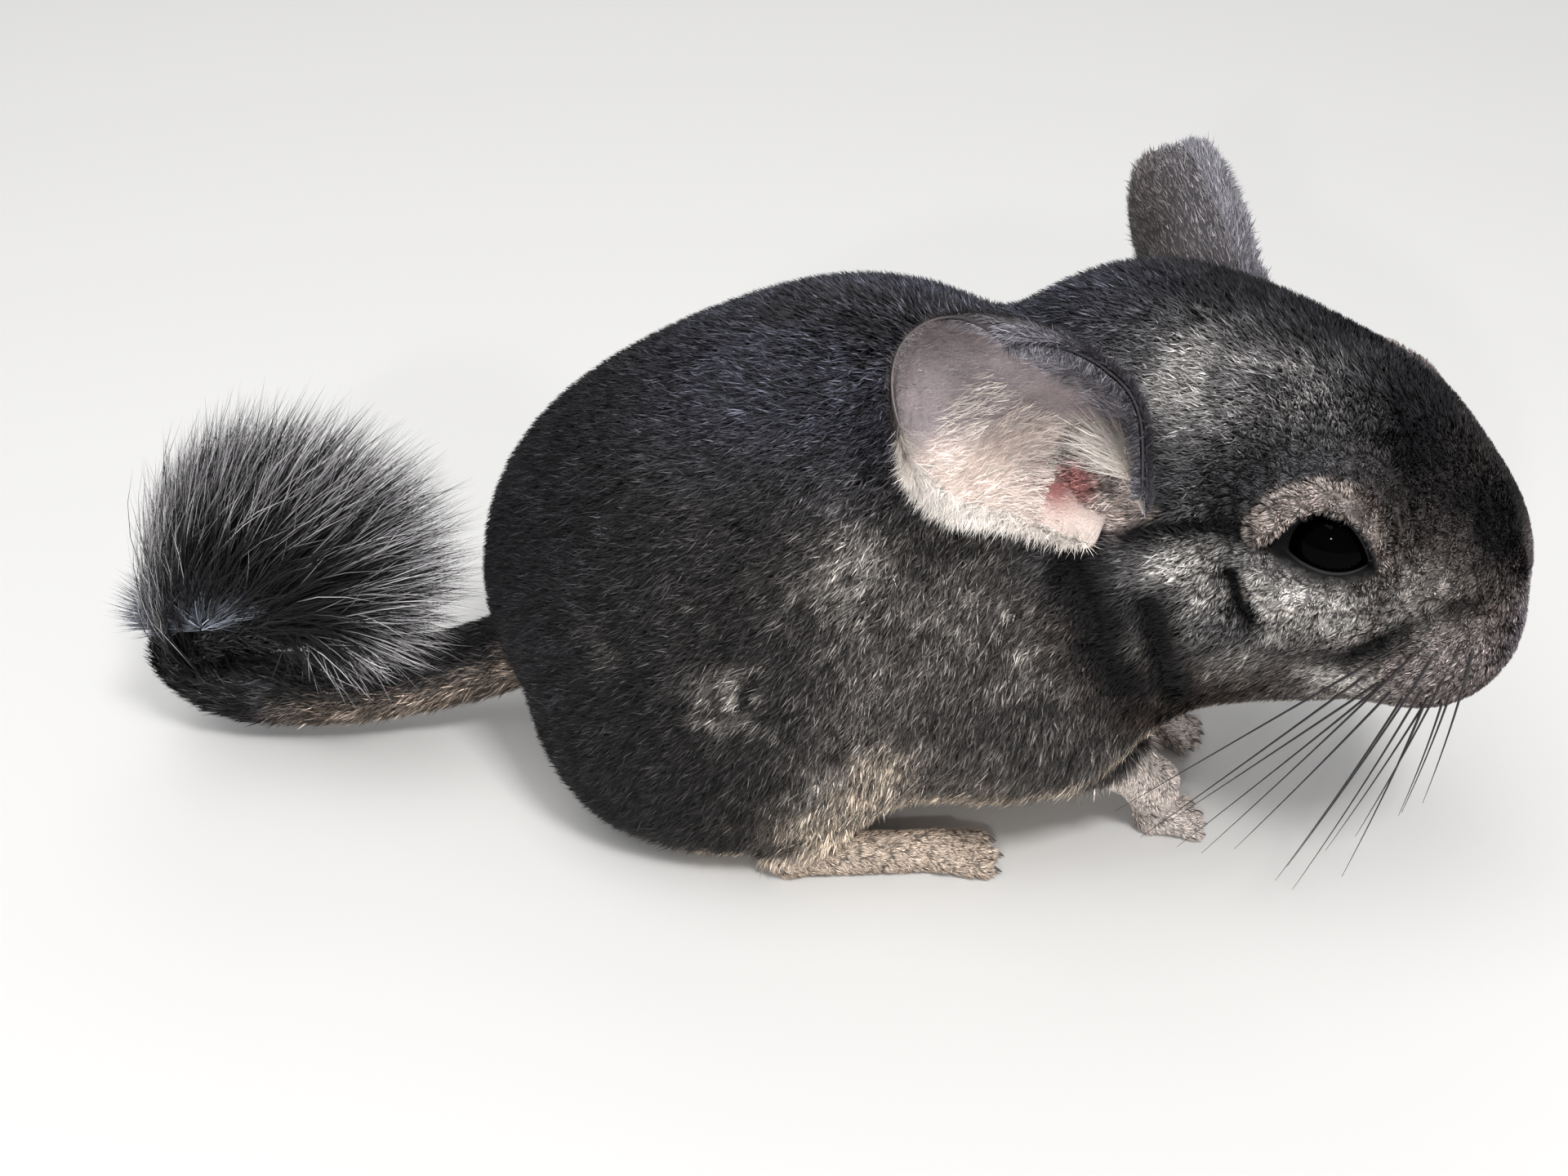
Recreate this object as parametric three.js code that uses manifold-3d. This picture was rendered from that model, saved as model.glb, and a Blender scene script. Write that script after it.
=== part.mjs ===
// A young grey chinchilla, life size, crouching with its head turned a little to its right.
// Millimetres. It faces +X, its left is +Y, up is +Z and the floor is z = 0.
import * as THREE from 'three';
import { mergeVertices } from 'three/addons/utils/BufferGeometryUtils.js';
import Module from 'manifold-3d';

const wasm = await Module();
wasm.setup();

// Fits
const GAP = 0.3;                 // between pieces that touch
const SINK = 9;                  // how far a form runs on past its parting cut
const FLOOR_CLEARANCE = 2;       // belly and haunches above the floor

// How softly forms run into one another: the width over which two of them blend
const TRUNK_BLEND = 20;
const LIMB_BLEND = 10;
const NECK_BLEND = 13;
const HEAD_BLEND = 12;
const TOE_BLEND = 1.6;
const ARM_BLEND = 3;

// Head: its centre, its turn in degrees, and the places of its parts in its own frame
const HEAD_CENTRE = [64, -8, 66];
const HEAD_YAW = -17;
const HEAD_PITCH = 15;
const HEAD_ROLL = 6;
const EYE_RADIUS = 7;
const EYE_PLACE = [17, 14.8, 10.5];
const EYE_AIM = [0.42, 0.86, 0.26];
const EYE_OPENING_WIDTH = 14.5;
const EYE_OPENING_HEIGHT = 9.5;
const LID_THICKNESS = 1.3;
const NOSE_TIP = [45.6, 0, 0];
const NOSTRIL_APART = 6;
const MOUTH_LINE = 0.7;          // radius of the groove between the lips

// Ears: length, width and thickness of the cup, and how far, in degrees from the middle of the cup,
// its front and back margins are rolled in at its foot and at its blade
const EAR_LENGTH = 40;
const EAR_WIDTH = 31;
const EAR_THICKNESS = 1.2;
const EAR_FOOT_ROLL = { front: 165, back: 125 };
const EAR_BLADE_ROLL = { front: 85, back: 45 };
const EAR_FOOT_WIDTH = 0.3;        // of the blade's
const EAR_TIP_DROP = 0.16;         // how much shorter the ear is along its margins
const EAR_WIDEST = 0.55;           // shares of its length: where it is as wide as it gets,
const EAR_OPEN_BY = 0.5;           // where the roll of its foot has opened,
const EAR_TIP_FROM = 0.6;          // and where its tip begins to narrow, by this share
const EAR_TIP_NARROWS = 0.8;
const EAR_ROWS = 8;
const EAR_COLUMNS = 11;
// Each ear's foot, the way its tip points and the way its cup opens, in the head's frame
const EAR_RIGHT = { foot: [-8.2, -26.6, 7], axis: [-31, -12, 19.5], face: [2, -30, 14] };
const EAR_LEFT = { foot: [-4.5, 22.5, 4.5], axis: [-22, 26, 4], face: [30, 3, 11] };

// Hind foot: heel and toe on the floor, on the animal's left side
const HEEL = [3, 30];
const HIND_TOE = [34, 24];
const HIND_FOOT_RADIUS = 3.4;
const HIND_TOES = 3;
const TOE_RADIUS = 1.9;
const TOE_LENGTH = 8;
const TOE_SPREAD = 3.6;
const ANKLE = { ahead: 4, inward: 3, height: 11, radius: 5 };   // from the heel

// Foreleg: elbow, wrist and the paw's place on the floor, on the animal's left side
const ELBOW = [46, 16, 22];
const WRIST = [59, 12, 9];
const PAW_TOE = [67, 10.5];
const FORELEG_RADIUS = 6;
const WRIST_RADIUS = 3.8;
const FINGERS = 4;
const FINGER_RADIUS = 1.5;
const FINGER_LENGTH = 5;
const FINGER_SPREAD = 2.5;

// Tail: its centreline from the rump to the curled-up end, and its radius along it
const TAIL_LINE = [
  [-40, 0, 19], [-60, -3, 12], [-80, -7, 9], [-95, -9, 10.5], [-101, -10, 17], [-96, -11, 23.5],
  [-86, -12, 27], [-75, -12, 31],
];
const TAIL_ROOT_RADIUS = 6.5;
const TAIL_END_RADIUS = 5.5;
const TAIL_ROUNDED = 0.94;
const TAIL_SPLITS = [0.3, 0.55];

// Brush: its whorl, and its locks, whose tips lie on a rounded fan about the whorl. The fan's turns are
// in degrees from +X, with its reach where it is longest and how that falls off behind and ahead of there
const WHORL = [-94, -10, 25];
const LOCKS = 54;
const FAN_FROM = 108;
const FAN_TO = -5;
const FAN_LONGEST = 52;
const FAN_LONGEST_TURN = 40;
const FAN_BEHIND = 0.58;
const FAN_AHEAD = 0.4;
const FAN_HALF_DEPTH = 15;
const LOCK_ROOTS = [0.63, 0.96];
const LOCK_ROOT_OUT = 3;
const LOCK_WIDTH = 9;
const LOCK_THICKNESS = 0.8;
const LOCK_BOW = 4;
const LOCK_STEPS = 4;
const LOCK_SEED = 7;

// How finely the forms are faceted
const TRUNK_CENTRE = [14, -1, 50];
const TRUNK_DETAIL = 9;
const HEAD_DETAIL = 10;
const FOOT_DETAIL = 5;
const EYE_FACETS = 16;
const ZONE_FACETS = 18;
const LIMB_ZONE_FACETS = 14;

const material = (color, roughness) => new THREE.MeshStandardMaterial({ color, roughness, metalness: 0 });
const COAT = material('#4d4f55', 0.95);
const EAR_SKIN = material('#8a7e78', 0.8);
const FOOT_FUR = material('#b9b3ac', 0.9);
const EYE_GLOSS = material('#0c0a0b', 0.08);
const TAIL_FUR = material('#6a645d', 0.95);
const BRUSH_FUR = material('#37363a', 0.95);

const vector = ([x, y, z]) => new THREE.Vector3(x, y, z);
const mirrored = ([x, y, z], side) => [x, side * y, z];

// A frame with its origin at a centre, turned by yaw, then pitch (nose down), then roll, in degrees
function frame(centre, yaw = 0, pitch = 0, roll = 0) {
  const turn = new THREE.Euler(...[roll, pitch, yaw].map(THREE.MathUtils.degToRad), 'ZYX');
  return new THREE.Matrix4().makeRotationFromEuler(turn).setPosition(vector(centre));
}

const HEAD_FRAME = frame(HEAD_CENTRE, HEAD_YAW, HEAD_PITCH, HEAD_ROLL);
const inHead = (place) => vector(place).applyMatrix4(HEAD_FRAME);
const headWay = (way) => vector(way).transformDirection(HEAD_FRAME);

// Fields: each returns about the distance from a point to a form's surface, negative inside
function ellipsoid(centre, radii, pitch = 0, parent = new THREE.Matrix4()) {
  const inverse = parent.clone().multiply(frame(centre, 0, pitch)).invert();
  const size = vector(radii);
  const near = new THREE.Vector3();
  const steep = new THREE.Vector3();
  return (point) => {
    near.copy(point).applyMatrix4(inverse).divide(size);
    steep.copy(near).divide(size);
    const ratio = near.length();
    return ratio * (ratio - 1) / Math.max(steep.length(), 1e-6);
  };
}

function taperedRod(from, to, radiusFrom, radiusTo) {
  const line = new THREE.Line3(from, to);
  const nearest = new THREE.Vector3();
  return (point) => {
    const along = line.closestPointToPointParameter(point, true);
    line.at(along, nearest);
    return nearest.distanceTo(point) - THREE.MathUtils.lerp(radiusFrom, radiusTo, along);
  };
}

function blended(fields, width) {
  return (point) => fields.map((field) => field(point)).reduce((a, b) => {
    const overlap = Math.max(width - Math.abs(a - b), 0) / width;
    return Math.min(a, b) - overlap * overlap * width / 4;
  });
}

const inside = (...fields) => (point) => Math.max(...fields.map((field) => field(point)));
const grown = (field, amount) => (point) => field(point) - amount;
const outside = (field) => (point) => -field(point);

// Flesh with its coat
function headField() {
  const braincase = ellipsoid([-9, 0, 1], [29, 26, 26], 0, HEAD_FRAME);
  const jowls = ellipsoid([-8, 0, -12], [26, 27, 20], 0, HEAD_FRAME);
  const face = ellipsoid([14, 0, 4], [28, 22.5, 23], 0, HEAD_FRAME);
  const snout = ellipsoid([31.4, 0, -0.5], [14.2, 13.6, 14.5], 0, HEAD_FRAME);
  const whiskerPads = ellipsoid([34.4, 0, -9.8], [10.6, 12, 7.6], 0, HEAD_FRAME);
  const throat = ellipsoid([0, 0, -20], [30, 19, 12], 0, HEAD_FRAME);
  return blended([braincase, jowls, face, snout, whiskerPads, throat], HEAD_BLEND);
}

function torsoField() {
  const rump = ellipsoid([-9, 0, 37], [41, 38, 37]);
  const hump = ellipsoid([13, 0, 49], [35, 33, 37.5]);
  const chest = ellipsoid([36, 0, 36], [32, 28, 26]);
  const thighs = [-1, 1].map((side) => ellipsoid([-6, side * 23, 24], [31, 16, 24], -20));
  const shoulders = [-1, 1].map((side) => ellipsoid([32, side * 18, 34], [24, 15, 20], 20));
  return blended([blended([rump, hump, chest], TRUNK_BLEND), ...thighs, ...shoulders], LIMB_BLEND);
}

const neckField = taperedRod(vector([34, 0, 46]), inHead([-8, 0, -10]), 25, 21);
const standing = (point) => FLOOR_CLEARANCE - point.z;
const bodyField = inside(blended([torsoField(), neckField, headField()], NECK_BLEND), standing);

// Solids
function solid(geometry) {
  geometry.deleteAttribute('normal');
  geometry.deleteAttribute('uv');
  const merged = mergeVertices(geometry);
  return new wasm.Manifold(new wasm.Mesh({
    numProp: 3,
    vertProperties: new Float32Array(merged.attributes.position.array),
    triVerts: new Uint32Array(merged.index.array),
  }));
}

// A ball whose every point is pushed out from the centre until it lies on the field's surface
function sculpted(field, centre, detail) {
  const ball = new THREE.IcosahedronGeometry(1, detail);
  const places = ball.attributes.position;
  const way = new THREE.Vector3();
  const point = new THREE.Vector3();
  for (let i = 0; i < places.count; i += 1) {
    way.fromBufferAttribute(places, i).normalize();
    let [near, far] = [0, 1];
    while (field(point.copy(centre).addScaledVector(way, far)) < 0) {
      near = far;
      far += 1;
    }
    while (far - near > 0.001) {
      const middle = (near + far) / 2;
      const within = field(point.copy(centre).addScaledVector(way, middle)) < 0;
      [near, far] = within ? [middle, far] : [near, middle];
    }
    places.setXYZ(i, point.x, point.y, point.z);
  }
  return solid(ball);
}

// An ellipsoid, as a solid, that parts one node from the next
function zone({ centre, radii, parent = new THREE.Matrix4(), facets = ZONE_FACETS }, extra = 0) {
  const ball = new THREE.SphereGeometry(1, facets, facets / 2);
  ball.scale(...radii.map((radius) => radius + extra));
  ball.translate(...centre);
  ball.applyMatrix4(parent);
  return solid(ball);
}

const zoneField = ({ centre, radii, parent }) => ellipsoid(centre, radii, 0, parent);

function largest(form) {
  return form.decompose().reduce((a, b) => (a.volume() > b.volume() ? a : b));
}

const LOW_BOX = solid(new THREE.BoxGeometry(400, 200, 40).translate(0, 0, -20));

function meshOf(name, form, look) {
  const { vertProperties, triVerts } = largest(form).getMesh();
  const geometry = new THREE.BufferGeometry();
  geometry.setAttribute('position', new THREE.BufferAttribute(vertProperties, 3));
  geometry.setIndex(new THREE.BufferAttribute(triVerts, 1));
  geometry.computeVertexNormals();
  const mesh = new THREE.Mesh(geometry, look);
  mesh.name = name;
  return mesh;
}

// Parting zones
const HEAD_ZONE = { centre: [14, 0, -3], radii: [44, 38, 37], parent: HEAD_FRAME };
const NECK_ZONE = { centre: [3, 0, -5], radii: [46, 42, 43], parent: HEAD_FRAME };
const thighZone = (side) => (
  { centre: [-8, side * 34, 22], radii: [31, 20, 25], facets: LIMB_ZONE_FACETS });
const shoulderZone = (side) => (
  { centre: [40, side * 30, 28], radii: [19, 17, 20], facets: LIMB_ZONE_FACETS });

function trunkForm(extra = 0) {
  const upToHead = outside(grown(zoneField(HEAD_ZONE), -SINK));
  return sculpted(inside(grown(bodyField, extra), upToHead), vector(TRUNK_CENTRE), TRUNK_DETAIL);
}

const trunk = trunkForm();
const trunkGrown = trunkForm(GAP);

// Head
function eyeBall(side, radius) {
  const ball = new THREE.SphereGeometry(radius, EYE_FACETS, EYE_FACETS / 2);
  const aim = headWay(mirrored(EYE_AIM, side));
  ball.applyQuaternion(new THREE.Quaternion().setFromUnitVectors(new THREE.Vector3(0, 1, 0), aim));
  ball.translate(...inHead(mirrored(EYE_PLACE, side)));
  return solid(ball);
}

// The almond between the lids, as a prism that runs out along the eye's aim
function lidOpening(side) {
  const [half, height] = [EYE_OPENING_WIDTH / 2, EYE_OPENING_HEIGHT / 2];
  const almond = new THREE.Shape();
  almond.moveTo(-half, 0);
  almond.bezierCurveTo(-half * 0.6, height * 1.25, half * 0.6, height * 1.25, half, 0);
  almond.bezierCurveTo(half * 0.6, -height * 1.1, -half * 0.6, -height * 1.1, -half, 0);
  const run = { depth: 3 * EYE_RADIUS, bevelEnabled: false, curveSegments: 9 };
  const prism = new THREE.ExtrudeGeometry(almond, run);
  const aim = headWay(mirrored(EYE_AIM, side));
  const along = headWay([side * EYE_AIM[1], -EYE_AIM[0], 0]).projectOnPlane(aim).normalize();
  prism.applyMatrix4(new THREE.Matrix4().makeBasis(along, aim.clone().cross(along), aim));
  prism.translate(...inHead(mirrored(EYE_PLACE, side)));
  return solid(prism);
}

// A point of the head's surface, seen from a place inside it
function onHead(from, to) {
  const start = inHead(from);
  const way = inHead(to).sub(start).normalize();
  const point = start.clone();
  while (headShape(point) < 0) {
    point.addScaledVector(way, 0.1);
  }
  return point;
}

const headShape = headField();

function groove(points) {
  const section = new THREE.Shape([...Array(5).keys()].map((corner) => (
    new THREE.Vector2(MOUTH_LINE, 0).rotateAround(new THREE.Vector2(), corner * Math.PI * 2 / 5))));
  const path = new THREE.CatmullRomCurve3(points);
  return solid(new THREE.ExtrudeGeometry(section, { steps: 2 * points.length, extrudePath: path }));
}

function headForm() {
  const form = sculpted(
    inside(bodyField, grown(zoneField(HEAD_ZONE), SINK)), inHead([12, 0, -3]), HEAD_DETAIL,
  ).intersect(zone(HEAD_ZONE));
  const lids = [-1, 1].map((side) => eyeBall(side, EYE_RADIUS + GAP + LID_THICKNESS));
  const sockets = [-1, 1].map((side) => eyeBall(side, EYE_RADIUS + GAP));
  const openings = [-1, 1].map((side) => lidOpening(side));
  const nostrils = [-1, 1].map((side) => {
    const pit = new THREE.SphereGeometry(1, 8, 5).scale(2, 0.9, 1.4);
    const place = onHead([30, 0, 0], [NOSE_TIP[0], side * NOSTRIL_APART / 2, NOSE_TIP[2]]);
    return solid(pit.applyMatrix4(frame([0, 0, 0], HEAD_YAW + side * 35, HEAD_PITCH)).translate(...place));
  });
  const upperLip = groove([[47, 0, -4], [46, 0, -9], [42, 0, -16]].map((to) => onHead([30, 0, -8], to)));
  const lips = [-1, 1].map((side) => groove(
    [[42, 0, -16.5], [39, 5, -19], [33, 10, -19], [26, 14, -17]].map((to) => (
      onHead([28, 0, -8], mirrored(to, side)))),
  ));
  return wasm.Manifold.difference(
    [wasm.Manifold.union([form, ...lids]), ...sockets, ...openings, ...nostrils, upperLip, ...lips],
  );
}

const headGrown = sculpted(
  inside(grown(bodyField, GAP), grown(zoneField(HEAD_ZONE), SINK)), inHead([12, 0, -3]), HEAD_DETAIL,
);

// A closed shell over a grid: a middle surface with half the thickness on each side of it
function shell(middle, thickness, hand, rows, columns) {
  const at = (row, column) => middle(row / rows, 2 * column / columns - 1);
  const step = 0.01;
  const places = [];
  for (const face of [-1, 1]) {
    for (let row = 0; row <= rows; row += 1) {
      for (let column = 0; column <= columns; column += 1) {
        const along = at(row + step, column).sub(at(row - step, column));
        const across = at(row, column + step).sub(at(row, column - step));
        const normal = across.cross(along).normalize().multiplyScalar(hand);
        places.push(...at(row, column).addScaledVector(normal, face * thickness / 2));
      }
    }
  }
  const layer = (rows + 1) * (columns + 1);
  const id = (face, row, column) => face * layer + row * (columns + 1) + column;
  const faces = [];
  const quad = (a, b, c, d) => faces.push(...(hand > 0 ? [a, b, c, a, c, d] : [a, c, b, a, d, c]));
  for (let row = 0; row < rows; row += 1) {
    for (let column = 0; column < columns; column += 1) {
      const around = [[0, 0], [0, 1], [1, 1], [1, 0]];
      const [a, b, c, d] = around.map(([up, over]) => id(1, row + up, column + over));
      quad(a, b, c, d);
      const [e, f, g, h] = [a, b, c, d].map((corner) => corner - layer);
      faces.push(...(hand > 0 ? [e, g, f, e, h, g] : [e, f, g, e, g, h]));
    }
  }
  for (let row = 0; row < rows; row += 1) {
    quad(id(0, row, 0), id(1, row, 0), id(1, row + 1, 0), id(0, row + 1, 0));
    quad(id(1, row, columns), id(0, row, columns), id(0, row + 1, columns), id(1, row + 1, columns));
  }
  for (let column = 0; column < columns; column += 1) {
    quad(id(1, 0, column), id(0, 0, column), id(0, 0, column + 1), id(1, 0, column + 1));
    quad(id(0, rows, column), id(1, rows, column), id(1, rows, column + 1), id(0, rows, column + 1));
  }
  const geometry = new THREE.BufferGeometry();
  geometry.setAttribute('position', new THREE.Float32BufferAttribute(places, 3));
  geometry.setIndex(faces);
  return solid(geometry);
}

// Ear: a cup rolled nearly shut at its foot that opens to a broad, rounded blade with a folded front margin
function earForm({ foot, axis, face }, hand) {
  const along = headWay(axis);
  const out = headWay(face).projectOnPlane(along).normalize();
  const forward = out.clone().cross(along).multiplyScalar(hand);
  const arc = (u, margin) => {
    const risen = THREE.MathUtils.clamp(u / EAR_WIDEST, 0, 1);
    const swell = THREE.MathUtils.lerp(EAR_FOOT_WIDTH, 1, Math.sin(Math.PI / 2 * risen));
    const tipward = Math.max(u - EAR_TIP_FROM, 0) / (1 - EAR_TIP_FROM);
    const narrow = Math.sqrt(1 - (EAR_TIP_NARROWS * tipward) ** 2);
    const halfWidth = EAR_WIDTH / 2 * swell * narrow;
    const opened = THREE.MathUtils.clamp(u / EAR_OPEN_BY, 0, 1) ** 0.7;
    const degrees = THREE.MathUtils.lerp(EAR_FOOT_ROLL[margin], EAR_BLADE_ROLL[margin], opened);
    const roll = THREE.MathUtils.degToRad(degrees);
    const radius = roll < Math.PI / 2 ? halfWidth / Math.sin(roll) : halfWidth;
    return { roll, radius, deep: radius * (1 - Math.cos(roll) * Math.min(1, u / 0.3)) };
  };
  const middle = (u, v) => {
    const [front, back] = [arc(u, 'front'), arc(u, 'back')];
    const { roll, radius } = v > 0 ? front : back;
    const height = EAR_LENGTH * u * (1 - EAR_TIP_DROP * v * v * u);
    const depth = radius * (1 - Math.cos(roll * v)) - (front.deep + back.deep) / 2;
    return inHead(foot).addScaledVector(along, height)
      .addScaledVector(forward, radius * Math.sin(roll * v)).addScaledVector(out, depth);
  };
  const cup = shell(middle, EAR_THICKNESS, hand, EAR_ROWS, EAR_COLUMNS);
  return cup.subtract(headGrown).subtract(trunkGrown);
}

// Feet: a sole between heel and toes, toes side by side, and an ankle that runs up into the leg
function footForm({ heel, toe, ankle, radius, toes, toeRadius, toeLength, spread, ankleRadius }) {
  const back = new THREE.Vector3(...heel, radius * 0.8);
  const front = new THREE.Vector3(...toe, toeRadius * 0.7);
  const ahead = front.clone().sub(back).setZ(0).normalize();
  const beside = new THREE.Vector3(-ahead.y, ahead.x, 0);
  const knuckle = front.clone().addScaledVector(ahead, -toeLength).setZ(radius * 0.75);
  const sole = taperedRod(back, knuckle, radius, radius);
  const parts = [sole, taperedRod(back, vector(ankle), radius, ankleRadius)];
  for (let i = 0; i < toes; i += 1) {
    const place = i - (toes - 1) / 2;
    const start = knuckle.clone().addScaledVector(beside, place * spread * 0.6);
    const end = front.clone().addScaledVector(beside, place * spread)
      .addScaledVector(ahead, -0.8 * Math.abs(place));
    parts.push(taperedRod(start, end, toeRadius, toeRadius * 0.85));
  }
  return blended(parts, TOE_BLEND);
}

function hindFootField(side) {
  return footForm({
    heel: [HEEL[0], side * HEEL[1]],
    toe: [HIND_TOE[0], side * HIND_TOE[1]],
    ankle: [HEEL[0] + ANKLE.ahead, side * (HEEL[1] - ANKLE.inward), ANKLE.height],
    radius: HIND_FOOT_RADIUS,
    toes: HIND_TOES,
    toeRadius: TOE_RADIUS,
    toeLength: TOE_LENGTH,
    spread: TOE_SPREAD,
    ankleRadius: ANKLE.radius,
  });
}

function hindFootForm(side) {
  const centre = new THREE.Vector3((HEEL[0] + HIND_TOE[0]) / 2 + 4, side * (HEEL[1] + HIND_TOE[1]) / 2, 2);
  return sculpted(hindFootField(side), centre, FOOT_DETAIL).subtract(LOW_BOX).subtract(trunkGrown);
}

function forePawForm(side) {
  const field = footForm({
    heel: [WRIST[0] + 1, side * WRIST[1]],
    toe: [PAW_TOE[0], side * PAW_TOE[1]],
    ankle: mirrored(WRIST, side),
    radius: WRIST_RADIUS * 0.8,
    toes: FINGERS,
    toeRadius: FINGER_RADIUS,
    toeLength: FINGER_LENGTH,
    spread: FINGER_SPREAD,
    ankleRadius: WRIST_RADIUS,
  });
  const [elbow, wrist] = [ELBOW, WRIST].map((place) => vector(mirrored(place, side)));
  const arm = taperedRod(elbow, wrist, FORELEG_RADIUS, WRIST_RADIUS);
  const centre = new THREE.Vector3(WRIST[0] + 1, side * WRIST[1], WRIST[2] - 3);
  const paw = sculpted(blended([field, arm], ARM_BLEND), centre, FOOT_DETAIL);
  return paw.subtract(LOW_BOX).subtract(trunkGrown);
}

// Tail: a tapered tube along its centreline, in lengths that meet face to face
const tailCurve = new THREE.CatmullRomCurve3(TAIL_LINE.map(vector));
const tailGap = GAP / tailCurve.getLength();

function tailLength(from, to, steps, extra = 0, radial = 12) {
  const tube = new THREE.CylinderGeometry(1, 1, 1, radial, steps);
  const places = tube.attributes.position;
  const point = new THREE.Vector3();
  for (let i = 0; i < places.count; i += 1) {
    const along = THREE.MathUtils.lerp(from, to, places.getY(i) + 0.5);
    const rounded = Math.sqrt(1 - (Math.max(along - TAIL_ROUNDED, 0) / (1 - TAIL_ROUNDED)) ** 2 * 0.9);
    const radius = THREE.MathUtils.lerp(TAIL_ROOT_RADIUS, TAIL_END_RADIUS, along) * rounded + extra;
    const tangent = tailCurve.getTangentAt(along);
    const across = new THREE.Vector3(0, 1, 0).projectOnPlane(tangent).normalize();
    point.copy(tailCurve.getPointAt(along));
    point.addScaledVector(across, radius * places.getX(i));
    point.addScaledVector(across.cross(tangent), radius * places.getZ(i));
    places.setXYZ(i, ...point);
  }
  return solid(tube);
}

// Brush: flat tapered locks, rooted in the tail's curled-up end
function seeded(seed) {
  let state = seed;
  return () => {
    state = (state * 1103515245 + 12345) % 2147483648;
    return state / 2147483648;
  };
}

// One lock: a three-sided spindle on a curve from root to tip, flat across the way it faces
function lock(root, bend, tip, facing, width) {
  const spindle = new THREE.ConeGeometry(1, 1, 3, LOCK_STEPS);
  const curve = new THREE.QuadraticBezierCurve3(root, bend, tip);
  const places = spindle.attributes.position;
  const point = new THREE.Vector3();
  for (let i = 0; i < places.count; i += 1) {
    const along = Math.min(places.getY(i) + 0.5, 1);
    const left = Math.max(1 - along, 1e-6);
    const tangent = curve.getTangent(along);
    const side = tangent.clone().cross(facing).normalize();
    const face = side.clone().cross(tangent);
    const taper = Math.min(left * 1.6, 1) ** 0.8 / left;
    point.copy(curve.getPoint(along));
    point.addScaledVector(side, width / 2 * taper * places.getX(i));
    point.addScaledVector(face, LOCK_THICKNESS * taper * places.getZ(i));
    places.setXYZ(i, ...point);
  }
  return solid(spindle);
}

function fanReach(turn) {
  const behind = Math.max(turn - FAN_LONGEST_TURN, 0) / (FAN_FROM - FAN_LONGEST_TURN);
  const ahead = Math.max(FAN_LONGEST_TURN - turn, 0) / (FAN_LONGEST_TURN - FAN_TO);
  return FAN_LONGEST * (1 - FAN_BEHIND * behind ** 1.5 - FAN_AHEAD * ahead ** 2);
}

function brushForm() {
  const random = seeded(LOCK_SEED);
  const locks = [];
  for (let i = 0; i < LOCKS; i += 1) {
    const spread = (i + random()) / LOCKS;
    const depth = 2 * ((i * 0.618034 + 0.2 * random()) % 1) - 1;
    const turn = THREE.MathUtils.degToRad(THREE.MathUtils.lerp(FAN_FROM, FAN_TO, spread));
    const shrink = Math.sqrt(1 - 0.4 * depth * depth) * THREE.MathUtils.lerp(0.9, 1.02, random());
    const reach = fanReach(THREE.MathUtils.radToDeg(turn)) * shrink;
    const root = tailCurve.getPointAt(THREE.MathUtils.lerp(...LOCK_ROOTS, spread ** 0.9));
    const tip = new THREE.Vector3(Math.cos(turn) * reach, depth * FAN_HALF_DEPTH, Math.sin(turn) * reach);
    tip.add(vector(WHORL));
    root.y += LOCK_ROOT_OUT * depth;
    const bend = root.clone().lerp(tip, 0.5);
    bend.y += LOCK_BOW * depth;
    const sideways = new THREE.Vector3(-Math.sin(turn), 0, Math.cos(turn));
    bend.addScaledVector(sideways, LOCK_BOW * (2 * random() - 0.6));
    const facing = new THREE.Vector3(-Math.sin(turn) * 0.5, Math.sign(depth), Math.cos(turn) * 0.5);
    const width = LOCK_WIDTH * THREE.MathUtils.lerp(0.75, 1.15, random());
    locks.push(lock(root, bend, tip, facing.normalize(), width));
  }
  const clear = [trunkGrown, tailLength(0, TAIL_SPLITS[1], 8, GAP)];
  const core = tailLength(TAIL_SPLITS[1] + tailGap, 1, 9);
  return wasm.Manifold.union([core, wasm.Manifold.difference([wasm.Manifold.union(locks), ...clear])]);
}

// The animal
const sides = [['left', 1], ['right', -1]];
const animal = new THREE.Group();
const headZoneGrown = zone(HEAD_ZONE, GAP);
const limbZones = sides.flatMap(([, side]) => [zone(thighZone(side), GAP), zone(shoulderZone(side), GAP)]);
animal.add(meshOf('head', headForm(), COAT));
animal.add(meshOf('neck', trunk.intersect(zone(NECK_ZONE)).subtract(headZoneGrown), COAT));
animal.add(meshOf('torso', wasm.Manifold.difference(
  [trunk, headZoneGrown, zone(NECK_ZONE, GAP), ...limbZones],
), COAT));
for (const [name, side] of sides) {
  const parted = [headZoneGrown, zone(NECK_ZONE, GAP)];
  const thigh = trunk.intersect(zone(thighZone(side)));
  const shoulder = wasm.Manifold.difference([trunk.intersect(zone(shoulderZone(side))), ...parted]);
  animal.add(meshOf(`thigh_${name}`, thigh.subtract(zone(shoulderZone(side), GAP)), COAT));
  animal.add(meshOf(`shoulder_${name}`, shoulder, COAT));
  animal.add(meshOf(`hind_foot_${name}`, hindFootForm(side), FOOT_FUR));
  animal.add(meshOf(`forepaw_${name}`, forePawForm(side), FOOT_FUR));
  animal.add(meshOf(`ear_${name}`, earForm(side > 0 ? EAR_LEFT : EAR_RIGHT, side), EAR_SKIN));
  animal.add(meshOf(`eye_${name}`, eyeBall(side, EYE_RADIUS), EYE_GLOSS));
}
const tailBase = tailLength(0, TAIL_SPLITS[0], 5).subtract(trunkGrown);
const tailMiddle = tailLength(TAIL_SPLITS[0] + tailGap, TAIL_SPLITS[1], 5);
animal.add(meshOf('tail_base', tailBase, TAIL_FUR));
animal.add(meshOf('tail_middle', tailMiddle, TAIL_FUR));
animal.add(meshOf('tail_brush', brushForm(), BRUSH_FUR));

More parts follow.
